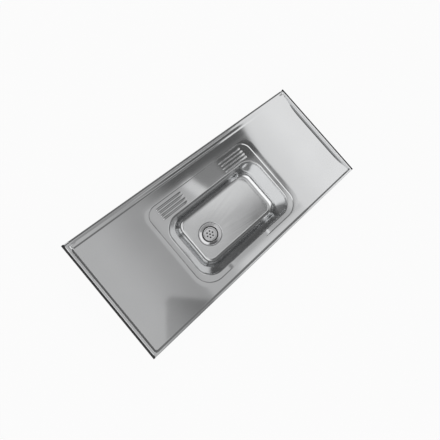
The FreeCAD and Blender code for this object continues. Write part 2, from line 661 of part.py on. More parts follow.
tray_pad("pad_left", "0 - " + CHANNEL_OUTER, CHANNEL_INNER_LEFT)
tray_pad("pad_right", CHANNEL_INNER_RIGHT, CHANNEL_OUTER)

pad_x = size("waste_x + flange_radius + seat_gap + pad_margin * 3")
pad_inset = size("floor_round + floor_flat + pad_margin * 2")
pad_foot = size(SEAT_LEVEL) - size("pad_thickness + sheet_gauge") * 2
pad_outline = rounded_wire(pad_x, size("bowl_right - lean_right") - pad_inset,
                           size("bowl_front + lean_front") + pad_inset,
                           size("bowl_rear - lean_rear") - pad_inset,
                           size("pad_corner"), pad_foot)
pad_column = Part.Face(pad_outline).extrude(FreeCAD.Vector(0, 0, size(FLOOR_LEVEL) - pad_foot))
pad_bowl = keep(doc.addObject("Part::Feature", "pad_bowl"))
pad_bowl.Label = "pad_bowl"
pad_bowl.Shape = bowl_form(gauge + size("pad_thickness")).cut(bowl_outside).common(pad_column)


# ---------------------------------------------------------------- hold-down clips
BOLT_LEVEL = "( %s - channel_height + sheet_gauge )" % TRAY_UNDERSIDE
CLIP_TOP = "( 0 - rail_thickness - rail_gap - clip_lip )"


def coach_bolt(label, x, y):
    """Coach bolt whose head sits inside the hat channel."""
    body = revolved(label, [
        ("0", "stud_head_height"), ("stud_head_crown", "stud_head_height"),
        ("stud_head_radius", "stud_head_edge"), ("stud_head_radius", "0"), ("stud_radius", "0"),
        ("stud_radius", "stud_chamfer - stud_length"), ("stud_radius - stud_chamfer", "0 - stud_length"),
        ("0", "0 - stud_length")])
    place(body, x, y, BOLT_LEVEL)
    return keep(body)


def turning_clip(label, x, y, turn):
    """Clip plate on the coach bolt, its lip turned up under the base unit's rail."""
    body = new_body(label)
    side = new_sketch(body, label + "_side", "XZ_Plane", "0 - clip_width / 2")
    draw_polygon(side, [("0 - clip_width / 2", "0"), ("clip_reach", "0"),
                        ("clip_reach", "clip_plate + clip_lip"),
                        ("clip_reach - clip_plate", "clip_plate + clip_lip"),
                        ("clip_reach - clip_plate", "clip_plate"), ("0 - clip_width / 2", "clip_plate")])
    add_feature(body, "Pad", label + "_plate", side, "clip_width")
    hole = new_sketch(body, label + "_hole", "XY_Plane", "clip_plate * 2")
    draw_circle(hole, "0", "0", "stud_radius + running_gap")
    add_feature(body, "Pocket", label + "_bore", hole, "clip_plate * 3")
    tail = -size("clip_width") / 2
    round_edges(body, label + "_tail", "clip_width / 2 - face_gap",
                lambda edge: edge.BoundBox.XMax < tail + 0.02
                and edge.BoundBox.ZMax - edge.BoundBox.ZMin > size("clip_plate") - 0.02
                and edge.BoundBox.YMax - edge.BoundBox.YMin < 0.02)
    place(body, x, y, "%s - clip_plate" % CLIP_TOP, turn)
    return keep(body)


def wing_nut(label, x, y, turn):
    """Wing nut under the clip: a tapered hub and two raised wings."""
    body = revolved(label, [
        ("stud_radius + running_gap", "0"), ("nut_hub_radius", "0"),
        ("nut_hub_foot", "0 - nut_hub_height"),
        ("stud_radius + running_gap", "0 - nut_hub_height")])
    wings = new_sketch(body, label + "_wings", "XZ_Plane", "0 - wing_thickness / 2")
    for sign in ("", "0 - "):
        draw_polygon(wings, [(sign + "wing_root", "0 - wing_start"),
                             (sign + "wing_reach", "0 - wing_shoulder"),
                             (sign + "wing_reach", "0 - nut_hub_height - wing_rise"),
                             (sign + "( wing_reach - wing_tip )", "0 - nut_hub_height - wing_rise"),
                             (sign + "wing_root", "wing_start - nut_hub_height")])
    add_feature(body, "Pad", label + "_wing_pad", wings, "wing_thickness")
    tips = size("wing_reach") - 0.02
    round_edges(body, label + "_wing_tips", "wing_tip_round",
                lambda edge: max(abs(edge.BoundBox.XMin), abs(edge.BoundBox.XMax)) > tips
                and min(abs(edge.BoundBox.XMin), abs(edge.BoundBox.XMax)) > tips
                and edge.BoundBox.ZMax - edge.BoundBox.ZMin < 0.02)
    place(body, x, y, "%s - clip_plate - face_gap" % CLIP_TOP, turn)
    return keep(body)


CORNERS = [("front_left", "0 - " + CHANNEL_OUTER, STUD_FRONT, -90),
           ("front_right", CHANNEL_OUTER, STUD_FRONT, -90),
           ("rear_left", "0 - " + CHANNEL_OUTER, STUD_REAR, 90),
           ("rear_right", CHANNEL_OUTER, STUD_REAR, 90)]
for corner, bolt_x, bolt_y, outward in CORNERS:
    coach_bolt("stud_" + corner, bolt_x, bolt_y)
    turning_clip("clip_" + corner, bolt_x, bolt_y, outward)
    wing_nut("wing_nut_" + corner, bolt_x, bolt_y, 0)


# ---------------------------------------------------------------- earth tag
tag = keep(new_body("earth_tag"))
tag_side = new_sketch(tag, "earth_tag_side", "XZ_Plane", "0 - tag_width / 2")
draw_polygon(tag_side, [("0", "0"), ("tag_foot", "0"), ("tag_foot", "0 - tag_plate"),
                        ("tag_plate", "0 - tag_plate"), ("tag_plate", "0 - tag_drop"),
                        ("0", "0 - tag_drop")])
add_feature(tag, "Pad", "earth_tag_plate", tag_side, "tag_width")
tag_hole = new_sketch(tag, "earth_tag_hole", "YZ_Plane", "0 - tag_plate")
draw_circle(tag_hole, "0", "0 - tag_drop + tag_width / 2", "tag_hole_radius")
add_feature(tag, "Pocket", "earth_tag_bore", tag_hole, "tag_plate * 3", Reversed=True)
place(tag, "( %s + %s ) / 2" % (CHANNEL_INNER_RIGHT, CHANNEL_OUTER), "deck_width / 2 - tag_inset",
      TRAY_UNDERSIDE, 90)


# ---------------------------------------------------------------- basket strainer waste
FLANGE_TOP = "( %s + gasket_thickness + flange_edge )" % SEAT_LEVEL
GASKET_BORE = "( neck_radius + gasket_gap )"

strainer_body = keep(revolved("strainer_body", [
    ("flange_radius", "0 - flange_edge"), ("flange_radius", "0 - flange_edge / 2"),
    ("flange_radius - flange_edge / 2", "0"), ("flange_crown", "0"),
    ("throat_radius", "0 - flange_dip"), ("throat_radius", "0 - ledge_depth"),
    ("ledge_radius", "0 - ledge_depth"), ("ledge_radius", "0 - neck_length"),
    ("cup_radius", "0 - cup_depth"), ("outlet_radius - outlet_wall", "0 - cup_depth"),
    ("outlet_radius - outlet_wall", "0 - cup_depth - cup_wall - outlet_length"),
    ("outlet_radius", "0 - cup_depth - cup_wall - outlet_length"),
    ("outlet_radius", "0 - cup_depth - cup_wall"), ("cup_radius + cup_wall", "0 - cup_depth - cup_wall"),
    ("neck_radius", "0 - neck_length - cup_wall"), ("neck_radius", "0 - flange_edge")]))
place(strainer_body, "waste_x", "waste_y", FLANGE_TOP)


def flat_ring(label, bore, rim, thickness, underside):
    """Plain ring round the waste's neck."""
    body = revolved(label, [(bore, "0"), (rim, "0"), (rim, thickness), (bore, thickness)])
    place(body, "waste_x", "waste_y", underside)
    return keep(body)


BOWL_UNDERSIDE = "( %s - sheet_gauge )" % SEAT_LEVEL
LOWER_GASKET = "( %s - lower_gasket_thickness )" % BOWL_UNDERSIDE
WASHER_LEVEL = "( %s - washer_thickness )" % LOWER_GASKET
flat_ring("flange_gasket", GASKET_BORE, "gasket_outer", "gasket_thickness", SEAT_LEVEL)
flat_ring("lower_gasket", GASKET_BORE, "lower_gasket_outer", "lower_gasket_thickness", LOWER_GASKET)
flat_ring("friction_washer", GASKET_BORE, "washer_outer", "washer_thickness", WASHER_LEVEL)

lock_nut = flat_ring("lock_nut", "neck_radius + running_gap", "nut_radius", "nut_height",
                     "%s - nut_height" % WASHER_LEVEL)
lug = new_sketch(lock_nut, "lock_nut_lug")
draw_polygon(lug, [("nut_radius - nut_lug_root", "0 - nut_lug_width / 2"),
                   ("nut_radius + nut_lug", "0 - nut_lug_width / 2"),
                   ("nut_radius + nut_lug", "nut_lug_width / 2"),
                   ("nut_radius - nut_lug_root", "nut_lug_width / 2")])
lug_pad = add_feature(lock_nut, "Pad", "lock_nut_lug_pad", lug, "nut_height")
ring_pattern(lock_nut, "lock_nut_lugs", lug_pad, "nut_lugs")

BASKET_FLAT = "( face_gap + basket_wall - ledge_depth )"
basket = keep(revolved("strainer_basket", [
    ("basket_rim_radius", BASKET_FLAT), ("basket_bead_radius", BASKET_FLAT),
    ("basket_bead_radius - basket_bead_slope", "0 - basket_bead_top"),
    ("basket_mouth", "0 - basket_bead_top"), ("basket_floor_radius", "0 - basket_depth"),
    ("0", "0 - basket_depth"), ("0", "0 - basket_depth - basket_wall"),
    ("basket_floor_radius + basket_wall", "0 - basket_depth - basket_wall"),
    ("basket_mouth + basket_wall", "0 - basket_bead_top - basket_wall"),
    ("basket_bead_radius - basket_bead_slope - basket_wall", "0 - basket_bead_top - basket_wall"),
    ("basket_bead_radius - basket_wall", "face_gap - ledge_depth"),
    ("basket_rim_radius", "face_gap - ledge_depth")]))
middle_hole = new_sketch(basket, "strainer_basket_middle", "XY_Plane", "0 - basket_depth / 2")
draw_circle(middle_hole, "0", "0", "basket_hole_radius")
add_feature(basket, "Pocket", "strainer_basket_middle_hole", middle_hole, "basket_depth")
outer_hole = new_sketch(basket, "strainer_basket_outer", "XY_Plane", "0 - basket_depth / 2")
draw_circle(outer_hole, "basket_hole_circle", "0", "basket_hole_radius")
outer_pocket = add_feature(basket, "Pocket", "strainer_basket_outer_hole", outer_hole, "basket_depth")
ring_pattern(basket, "strainer_basket_holes", outer_pocket, "basket_holes")
place(basket, "waste_x", "waste_y", FLANGE_TOP)


# ---------------------------------------------------------------- write the sub-parts
doc.recompute()
failed = [item.Name for item in doc.Objects if "Invalid" in item.State or "Error" in item.State]
if failed:
    raise RuntimeError("failed objects: %s" % failed)
os.makedirs("parts", exist_ok=True)
for item in nodes:
    shape = item.Shape
    if shape.isNull() or not shape.isValid():
        raise RuntimeError("bad shape: " + item.Label)
    shape.exportStep("parts/%s.step" % item.Label)
    print("%-18s solids %d volume %.0f" % (item.Label, len(shape.Solids), shape.Volume))
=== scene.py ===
# %% [markdown]
# # A lay-on sink top in pressed stainless steel
# The object is a kitchen sink top: one sheet pressed into two drainboards with a sunk field, a drawn
# bowl welded under it, rubber strips on both ends and a basket strainer waste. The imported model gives
# every piece its place, so the lesson starts by loading it. All lengths below are in millimetres and
# become metres where a mesh is made.

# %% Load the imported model
import json
import math

import bmesh
import bpy
import numpy as np
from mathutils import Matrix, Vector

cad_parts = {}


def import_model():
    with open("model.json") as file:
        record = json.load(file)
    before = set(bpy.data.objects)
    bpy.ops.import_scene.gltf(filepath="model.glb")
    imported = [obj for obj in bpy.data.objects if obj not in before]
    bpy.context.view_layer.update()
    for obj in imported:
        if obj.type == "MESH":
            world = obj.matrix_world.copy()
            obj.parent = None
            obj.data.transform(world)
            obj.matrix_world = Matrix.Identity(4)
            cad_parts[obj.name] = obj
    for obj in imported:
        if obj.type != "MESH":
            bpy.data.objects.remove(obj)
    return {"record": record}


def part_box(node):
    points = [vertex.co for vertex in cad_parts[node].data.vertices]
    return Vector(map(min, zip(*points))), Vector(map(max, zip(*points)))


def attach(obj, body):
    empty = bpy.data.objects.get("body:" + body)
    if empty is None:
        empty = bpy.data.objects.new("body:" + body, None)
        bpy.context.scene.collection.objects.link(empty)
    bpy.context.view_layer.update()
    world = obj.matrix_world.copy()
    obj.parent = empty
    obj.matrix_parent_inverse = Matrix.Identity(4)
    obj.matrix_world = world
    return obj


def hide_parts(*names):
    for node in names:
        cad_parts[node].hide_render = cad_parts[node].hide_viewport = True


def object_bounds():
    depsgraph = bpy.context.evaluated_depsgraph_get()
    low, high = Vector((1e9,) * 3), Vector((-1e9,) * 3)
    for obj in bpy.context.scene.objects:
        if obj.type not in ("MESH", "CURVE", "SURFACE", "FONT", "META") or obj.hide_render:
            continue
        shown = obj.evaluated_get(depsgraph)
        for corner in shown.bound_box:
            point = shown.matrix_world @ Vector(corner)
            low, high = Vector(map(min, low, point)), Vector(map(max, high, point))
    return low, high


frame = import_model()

MM = 0.001
cad_box = [list(corner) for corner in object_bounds()]

# %% [markdown]
# ## The camera
# The picture looks down on the top from about 75 degrees, a little to its left and front, with a short
# lens, so the near corner spreads wide. The four corners of the rim fix where such a camera stands. Its
# optical axis isn't in the middle of the frame, so the lens shift moves the picture sideways.

# %% Camera
FRAME_PIXELS = 440
FOCAL_PIXELS = 224
OPTICAL_AXIS = (240, 205)
EYE = (-232.3, -69.8, 980.8)
EYE_TURN = (11.245, -10.492, -41.388)

lens = bpy.data.cameras.new("viewpoint")
lens.sensor_width = 36
lens.lens = lens.sensor_width * FOCAL_PIXELS / FRAME_PIXELS
lens.shift_x = (FRAME_PIXELS / 2 - OPTICAL_AXIS[0]) / FRAME_PIXELS
lens.shift_y = (OPTICAL_AXIS[1] - FRAME_PIXELS / 2) / FRAME_PIXELS
camera = bpy.data.objects.new("viewpoint", lens)
camera.location = [place * MM for place in EYE]
camera.rotation_euler = [math.radians(angle) for angle in EYE_TURN]
bpy.context.scene.collection.objects.link(camera)
bpy.context.scene.camera = camera
bpy.context.scene.view_settings.view_transform = "Standard"
print("lens %.2f mm, shift %.4f %.4f" % (lens.lens, lens.shift_x, lens.shift_y))

# %% [markdown]
# ## From arrays to a mesh
# Every new surface here is a grid of points, one array of shape rows x columns x 3. One helper turns such
# a grid into a mesh. Closing the grid across its columns joins the last column to the first, which makes
# a ring, and closing it across its rows makes the ring's cross-section a loop, so a thin pressed sheet
# becomes a watertight shell.

# %% Grid to mesh
def grid_mesh(name, points, close_columns=True, close_rows=False, around=None, along=None):
    """Mesh of four-sided faces between neighbouring grid points, which are in millimetres.

    around holds one length per column edge and along one per row edge. Where they are given, every face
    corner gets them as its UV place, in metres, so a grain can follow the sheet.
    """
    rows, columns = points.shape[:2]
    row = np.arange(rows if close_rows else rows - 1)[:, None]
    column = np.arange(columns if close_columns else columns - 1)[None, :]
    row_steps, column_steps = [row, row + 1, row + 1, row], [column, column, column + 1, column + 1]
    corners = [(r % rows) * columns + c % columns for r, c in zip(row_steps, column_steps)]
    faces = np.stack(np.broadcast_arrays(*corners), axis=-1).reshape(-1, 4)
    mesh = bpy.data.meshes.new(name)
    mesh.vertices.add(rows * columns)
    mesh.vertices.foreach_set("co", (points.reshape(-1, 3) * MM).ravel())
    mesh.loops.add(faces.size)
    mesh.loops.foreach_set("vertex_index", faces.ravel())
    mesh.polygons.add(len(faces))
    mesh.polygons.foreach_set("loop_start", np.arange(0, faces.size, 4))
    mesh.polygons.foreach_set("use_smooth", np.ones(len(faces), dtype=bool))
    if around is not None:
        places = [np.broadcast_arrays(around[c] * MM, along[r] * MM) for r, c in zip(row_steps, column_steps)]
        layer = mesh.uv_layers.new(name="sheet")
        layer.data.foreach_set("uv", np.stack([np.stack(place, axis=-1) for place in places], axis=2).ravel())
    mesh.update(calc_edges=True)
    mesh.validate()
    return mesh


def add_piece(name, mesh, body, material, slot, *nodes):
    """Put a mesh in the scene, let it ride on its body and stand for its CAD nodes."""
    piece = bpy.data.objects.new(name, mesh)
    bpy.context.scene.collection.objects.link(piece)
    mesh.materials.append(material)
    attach(piece, body)
    if nodes:
        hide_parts(*nodes)
    triangles = sum(len(face.vertices) - 2 for face in mesh.polygons)
    print("%-18s %7d triangles" % (name, triangles))
    return piece

# %% [markdown]
# ## Node helpers for the finishes
# The metals need grain, cloudiness and a little wear. Each finish is a node tree, so a small class keeps
# the wiring readable: it adds a node, sets its sockets and links one node's output to the next. The studio's
# light uses the same way of adding nodes, so that part stands in a class of its own.

# %% Shader helper
class Nodes:
    """A node tree and a short way to add a node to it."""

    def __init__(self, tree):
        self.tree = tree

    def add(self, kind, inputs=None, **settings):
        """New node; inputs maps a socket's name or number to a value or to another node's output."""
        node = self.tree.nodes.new("ShaderNode" + kind)
        for key, value in settings.items():
            setattr(node, key, value)
        for key, value in (inputs or {}).items():
            if isinstance(value, bpy.types.NodeSocket):
                self.tree.links.new(value, node.inputs[key])
            else:
                node.inputs[key].default_value = value
        return node


class Finish(Nodes):
    """A material and the textures and bumps that its finish is made of."""

    def __init__(self, name, **sockets):
        self.material = bpy.data.materials.new(name)
        self.material.use_nodes = True
        super().__init__(self.material.node_tree)
        self.shader = self.tree.nodes["Principled BSDF"]
        for socket, value in sockets.items():
            self.shader.inputs[socket].default_value = value

    def place(self, scale=(1, 1, 1)):
        """Object coordinates in metres, stretched along the axes."""
        source = self.add("TexCoord").outputs["Object"]
        return self.add("Mapping", {"Vector": source, "Scale": scale}).outputs["Vector"]

    def noise(self, scale, stretch=(1, 1, 1), detail=3.0, roughness=0.5):
        """Noise in the room's own coordinates, with scale features per metre."""
        texture = self.add("TexNoise", {"Vector": self.place(stretch), "Scale": scale, "Detail": detail,
                                        "Roughness": roughness})
        return texture.outputs["Fac"]

    def sheet_noise(self, around, along, detail=2.0, roughness=0.5):
        """Noise on the sheet's own UV map: features per metre round the ring and down the profile."""
        source = self.add("UVMap", uv_map="sheet").outputs["UV"]
        place = self.add("Mapping", {"Vector": source, "Scale": (around, along, 1.0)}).outputs["Vector"]
        texture = self.add("TexNoise", {"Vector": place, "Scale": 1.0, "Detail": detail,
                                        "Roughness": roughness})
        return texture.outputs["Fac"]

    def remap(self, value, low, high, new_low, new_high):
        """A value between low and high, carried over to the new range and held at its ends."""
        return self.add("MapRange", {"Value": value, "From Min": low, "From Max": high, "To Min": new_low,
                                     "To Max": new_high}).outputs["Result"]

    def link(self, output, socket):
        self.tree.links.new(output, self.shader.inputs[socket])

    def bump(self, height, distance, strength=1.0):
        """Bump from a height of 0 to 1 times a distance in metres; bumps chain through their normals."""
        last = self.shader.inputs["Normal"].links
        inputs = {"Height": height, "Distance": distance, "Strength": strength}
        if last:
            inputs["Normal"] = last[0].from_socket
        self.link(self.add("Bump", inputs).outputs["Normal"], "Normal")


# places of the colour sockets on a Mix node, which also has sockets for numbers and vectors
FIRST_COLOR, SECOND_COLOR, MIXED_COLOR = 6, 7, 2


def mix_colors(finish, factor, first, second):
    """Blend of two colours by a factor; each colour is a triple or another node's output."""
    colors = [color if isinstance(color, bpy.types.NodeSocket) else (*color, 1) for color in (first, second)]
    node = finish.add("Mix", {0: factor, FIRST_COLOR: colors[0], SECOND_COLOR: colors[1]}, data_type="RGBA")
    return node.outputs[MIXED_COLOR]

# %% Plain finish helper
def plain_finish(name, color, roughness, grain_scale, grain_depth, contrast=0.12, metallic=0.0):
    """Coloured finish with mottled shade and a fine bump."""
    finish = Finish(name, Metallic=metallic)
    mottle = finish.noise(grain_scale * 0.15, detail=3.0)
    dark, bright = [[c * factor for c in color] for factor in (1 - contrast, 1 + contrast)]
    shade = mix_colors(finish, mottle, dark, bright)
    finish.link(shade, "Base Color")
    finish.link(finish.remap(mottle, 0.3, 0.7, roughness * 0.9, min(roughness * 1.1, 1)), "Roughness")
    finish.bump(finish.noise(grain_scale, detail=4.0), grain_depth * MM)
    return finish.material

# %% [markdown]
# ## Satin steel
# The sheet has a fine satin grain along the deck's length. Each scratch is far finer than a pixel, so the
# grain works as a low roughness with a very shallow stretched bump, not as painted lines. A broad soft
# noise makes the sheet slightly cloudy, and a slow, shallow wave bends what it mirrors, as pressed sheet
# does. The bowl was drawn deep, so its streaks follow the metal down the walls and in towards the waste.

# %% Satin steel
def satin_steel(name, base, roughness, grain_stretch, grain_depth, wave_depth, wave_scale):
    """Steel with grain; grain_stretch says how much finer the grain is along each axis."""
    finish = Finish(name, Metallic=1.0)
    grain = finish.noise(260.0, grain_stretch, detail=3.0, roughness=0.6)
    clouds = finish.noise(7.0, detail=3.0)
    finish.link(mix_colors(finish, clouds, [c * 0.95 for c in base], [c * 1.04 for c in base]), "Base Color")
    both = finish.add("Math", {0: grain, 1: clouds}, operation="ADD").outputs[0]
    finish.link(finish.remap(both, 0.7, 1.3, roughness * 0.8, roughness * 1.2), "Roughness")
    finish.bump(grain, grain_depth * MM)
    finish.bump(finish.noise(wave_scale, detail=1.0), wave_depth * MM)
    return finish


DECK_STEEL, BOWL_STEEL, WASTE_STEEL = (0.62, 0.625, 0.63), (0.66, 0.665, 0.67), (0.70, 0.70, 0.71)
deck_steel = satin_steel("satin_deck_steel", DECK_STEEL, 0.075, (0.05, 1.0, 1.0), 0.004, 0.10, 7.0).material
waste_steel = satin_steel("polished_waste_steel", WASTE_STEEL, 0.09, (1, 1, 1), 0.002, 0.01, 30.0).material
drawn = satin_steel("drawn_bowl_steel", BOWL_STEEL, 0.14, (1, 1, 1), 0.001, 0.30, 9.0)
drawn.bump(drawn.sheet_noise(22.0, 3.0, detail=0.0), 0.10 * MM)
bowl_steel = drawn.material


# painted shade: a near-black colour mixed into the waste's inside, in place of the shade deep in that recess
PAINTED_SHADE_COLOR = (0.035, 0.033, 0.030)
LEDGE_RADIUS, SHADE_STARTS, SHADE_FULL = 40.0, 8.0, 22.0


def paint_shade_inside(finish, radius, top, bottom):
    """Painted shade inside the waste, below the basket's ledge: the base colour gets darker the deeper it
    lies.
    """
    place = finish.add("SeparateXYZ", {"Vector": finish.add("TexCoord").outputs["Object"]}).outputs
    offset = [finish.add("Math", {0: place[axis], 1: -middle * MM}, operation="ADD").outputs[0]
              for axis, middle in (("X", WASTE_X), ("Y", WASTE_Y))]
    squares = [finish.add("Math", {0: side, 1: side}, operation="MULTIPLY").outputs[0] for side in offset]
    square = finish.add("Math", {0: squares[0], 1: squares[1]}, operation="ADD").outputs[0]
    away = finish.add("Math", {0: square, 1: 0.5}, operation="POWER").outputs[0]
    inside = finish.remap(away, radius * MM, (radius + 1) * MM, 1.0, 0.0)
    deep = finish.remap(place["Z"], top * MM, bottom * MM, 0.0, 1.0)
    shade_amount = finish.add("Math", {0: inside, 1: deep}, operation="MULTIPLY").outputs[0]
    unshaded = finish.shader.inputs["Base Color"].links[0].from_socket
    finish.link(mix_colors(finish, shade_amount, unshaded, PAINTED_SHADE_COLOR), "Base Color")


waste_low, waste_high = [np.array(corner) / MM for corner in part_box("strainer_body")]
WASTE_X, WASTE_Y = ((waste_low + waste_high) / 2)[:2]
# the waste body's steel carries painted shade on its inside, below the basket's ledge
body_finish_painted_shade = satin_steel("waste_body_steel_painted_shade", WASTE_STEEL, 0.10, (1, 1, 1), 0.002, 0.01, 30.0)
paint_shade_inside(body_finish_painted_shade, LEDGE_RADIUS, waste_high[2] - SHADE_STARTS, waste_high[2] - SHADE_FULL)
body_steel_painted_shade = body_finish_painted_shade.material
print("steels:", deck_steel.name, bowl_steel.name, waste_steel.name, body_steel_painted_shade.name)

# %% [markdown]
# ## Rings round the bowl
# The pressed sheet is a stack of rounded rectangles: the bowl's mouth, the sunk field, the drainboards'
# edge and the rim lie one outside the other. A ring of points round such a rectangle has eight stretches,
# four straight and four corners, always with the same number of points, so the points of one ring pair
# with those of the next.

# %% Ring parameters
FRONT_POINTS, SIDE_POINTS, CORNER_POINTS = 44, 30, 22
RIB_ENDS_POINTS = 16


def straight_parts(count):
    return np.linspace(0, 1, count, endpoint=False)


def rear_parts():
    """Shares along the rear side, dense where the soap ribs end."""
    coarse = np.linspace(0, 1, 50, endpoint=False)
    dense = [np.linspace(low, high, RIB_ENDS_POINTS) for low, high in
             ((0.02, 0.08), (0.27, 0.34), (0.66, 0.73), (0.92, 0.98))]
    return np.unique(np.round(np.concatenate([coarse, *dense]), 5))


def ring_stretches():
    """Per point: corner and angle where its stretch starts, corner and angle where it ends, and share."""
    rows = []
    order = [((0, -90), (1, -90), straight_parts(FRONT_POINTS)), ((1, -90), (1, 0), None),
             ((1, 0), (2, 0), straight_parts(SIDE_POINTS)), ((2, 0), (2, 90), None),
             ((2, 90), (3, 90), rear_parts()), ((3, 90), (3, 180), None),
             ((3, 180), (0, 180), straight_parts(SIDE_POINTS)), ((0, 180), (0, 270), None)]
    for (corner_a, angle_a), (corner_b, angle_b), shares in order:
        if shares is None:
            angles = np.linspace(angle_a, angle_b, CORNER_POINTS, endpoint=False)
            rows.append(np.stack([np.full_like(angles, corner_a), angles, np.full_like(angles, corner_a),
                                  angles, np.zeros_like(angles)], axis=1))
        else:
            ones = np.ones_like(shares)
            rows.append(np.stack([ones * corner_a, ones * angle_a, ones * corner_b, ones * angle_b, shares],
                                 axis=1))
    return np.concatenate(rows)


STRETCHES = ring_stretches()
print("points round a ring:", len(STRETCHES))

# %% Rings
def rings(left, right, front, back, radius_front, radius_back):
    """Points of many rounded rectangles at once.

    Each argument is a number or an array with one value per ring. A corner point is the corner's centre
    plus the radius at its angle. A point on a straight stretch is a blend of the stretch's two ends.
    """
    values = np.broadcast_arrays(*[np.atleast_1d(np.asarray(v, dtype=float)) for v in
                                   (left, right, front, back, radius_front, radius_back)])
    left, right, front, back, radius_front, radius_back = [v[:, None] for v in values]

    def arc_point(corner, angle):
        radius = np.where(corner < 2, radius_front, radius_back)
        is_right = (corner == 1) | (corner == 2)
        x = np.where(is_right, right - radius, left + radius)
        y = np.where(corner < 2, front + radius, back - radius)
        turn = np.radians(angle)
        return x + radius * np.cos(turn), y + radius * np.sin(turn)

    corner_a, angle_a, corner_b, angle_b, share = STRETCHES.T[:, None, :]
    # corner numbers run front left, front right, back right, back left
    ax, ay = arc_point(corner_a, angle_a)
    bx, by = arc_point(corner_b, angle_b)
    return np.stack([ax + (bx - ax) * share, ay + (by - ay) * share], axis=-1)


def arc_steps(count):
    """Angles from 0 to 90 degrees, in radians."""
    return np.linspace(0, np.pi / 2, count)


def smooth(t):
    """Smooth step from 0 to 1 with level ends."""
    t = np.clip(t, 0, 1)
    return t * t * (3 - 2 * t)

# %% [markdown]
# ## The pressed deck
# The deck could be a flat plane with bevels, but its look is all in the shallow pressing: the bright line
# along every bend. So one profile is carried round the bowl's mouth. It climbs the collar, rolls over the
# lip, crosses the sunk field and the drainboards, climbs the slope to the rim, bends down the skirt and
# folds inward. Then it comes back along the underside, one sheet thickness lower. What isn't the same all
# the way round is added afterwards as a height over the plan: the soap ribs, the rear rim that rises
# towards the wall, the trough at the right drainboard's end and the step that fades out along the front.

# %% Deck sizes
SHEET = 1.0
deck_low, deck_high = [np.array(corner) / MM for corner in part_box("deck")]
RIM_Z = deck_high[2]
TRAY_Z, FIELD_Z, WELD_Z = RIM_Z - 7.0, RIM_Z - 9.5, RIM_Z - 19.5
MOUTH = dict(left=-279.0, right=224.0, front=-197.0, back=97.0, radius_front=68.0, radius_back=68.0)
FIELD = dict(left=-304.0, right=247.0, front=-223.0, back=184.0, radius_front=76.0, radius_back=50.0)
OUTER = dict(left=deck_low[0], right=deck_high[0], front=deck_low[1], back=deck_high[1],
             radius_front=0.6, radius_back=0.6)
RIM_SIDE, RIM_FRONT, RIM_REAR = 8.0, 8.0, 30.0
RIM_INNER = dict(left=OUTER["left"] + RIM_SIDE, right=OUTER["right"] - RIM_SIDE,
                 front=OUTER["front"] + RIM_FRONT, back=OUTER["back"] - RIM_REAR,
                 radius_front=14.0, radius_back=14.0)
LIP_ROUND, EDGE_BEND, RETURN = 7.0, 2.2, 15.0
FIELD_REACH = 1.6
FIELD_STEP = dict(height=TRAY_Z - FIELD_Z, foot=1.3, bead=1.6, steepest=42.0)
RIM_STEP = dict(height=RIM_Z - TRAY_Z, foot=1.5, bead=3.5, steepest=50.0)
RIBS_X = (-201.0, 146.0)
RIB_LENGTH, RIB_WIDTH, RIB_HEIGHT = 116.0, 10.0, 2.6
RIBS_Y = 116.0 + 16.0 * np.arange(4)


def rib_height(x, y, half):
    """Height of the soap ribs: a smooth step of the distance to the nearest rib's middle line."""
    total = np.zeros_like(x)
    for middle in RIBS_X:
        along = np.maximum(np.abs(x - middle) - (RIB_LENGTH - RIB_WIDTH) / 2, 0)
        across = np.min(np.abs(y[..., None] - RIBS_Y), axis=-1)
        away = np.hypot(along, across)
        total = np.maximum(total, RIB_HEIGHT * smooth((half - away) / (half * 0.75)))
    return total

# %% Forms over the plan
BEAD_REACH, TRAY_END, TRAY_END_CORNER = 1.0, 28.0, 20.0
REAR_DROP, REAR_RISE, REAR_CREST, CREST_CURVE = 3.5, (251.0, 260.0), 4.4, 1.1
REAR_FOOT, REAR_FOOT_RUN, REAR_ENDS, REAR_ENDS_RUN = 214.0, 24.0, 574.0, 8.0
TROUGH_DEPTH, TROUGH_WIDTH, LENS_MIDDLE, LENS_HALF = 2.6, 21.5, -15.0, 233.0
LENS_POWER, LENS_LEAST, END_SLOPE_SHARE, TROUGH_STRAIGHT = 7, 0.08, 0.5, 0.94
FADE = (-186.0, -158.0, 34.0, 62.0)
FADE_DEPTH, FADE_DEPTH_RUN = -186.0, 10.0


def rear_rim(x, y):
    """Height of the rear rim over a flat one: a low strip, a rise to a crest, and a fall to the edge.

    The strip is REAR_DROP low and rises in a nearly straight slope. Past the crest the fall is REAR_CREST
    times the share of the way to the edge, raised to a power just over 1, so it steepens a little.
    """
    ends = 1 - smooth((np.abs(x) - REAR_ENDS) / REAR_ENDS_RUN)
    inner = smooth((y - REAR_FOOT) / REAR_FOOT_RUN) * ends
    rise = smooth_corner((y - REAR_RISE[0]) / (REAR_RISE[1] - REAR_RISE[0]))
    fall = np.clip((y - REAR_RISE[1]) / (OUTER["back"] - REAR_RISE[1]), 0, 1)
    return -REAR_DROP * inner * (1 - rise) - REAR_CREST * fall ** CREST_CURVE


def smooth_corner(t):
    """Straight climb from 0 to 1 with short rounds at both ends."""
    t = np.clip(t, 0, 1)
    return 0.75 * t + 0.25 * smooth(t)


def lens_share(y):
    """1 along most of the right end, almost 0 in its corners: 1 - |distance from the middle / half|^7."""
    return np.clip(1 - np.abs((y - LENS_MIDDLE) / LENS_HALF) ** LENS_POWER, LENS_LEAST, 1)


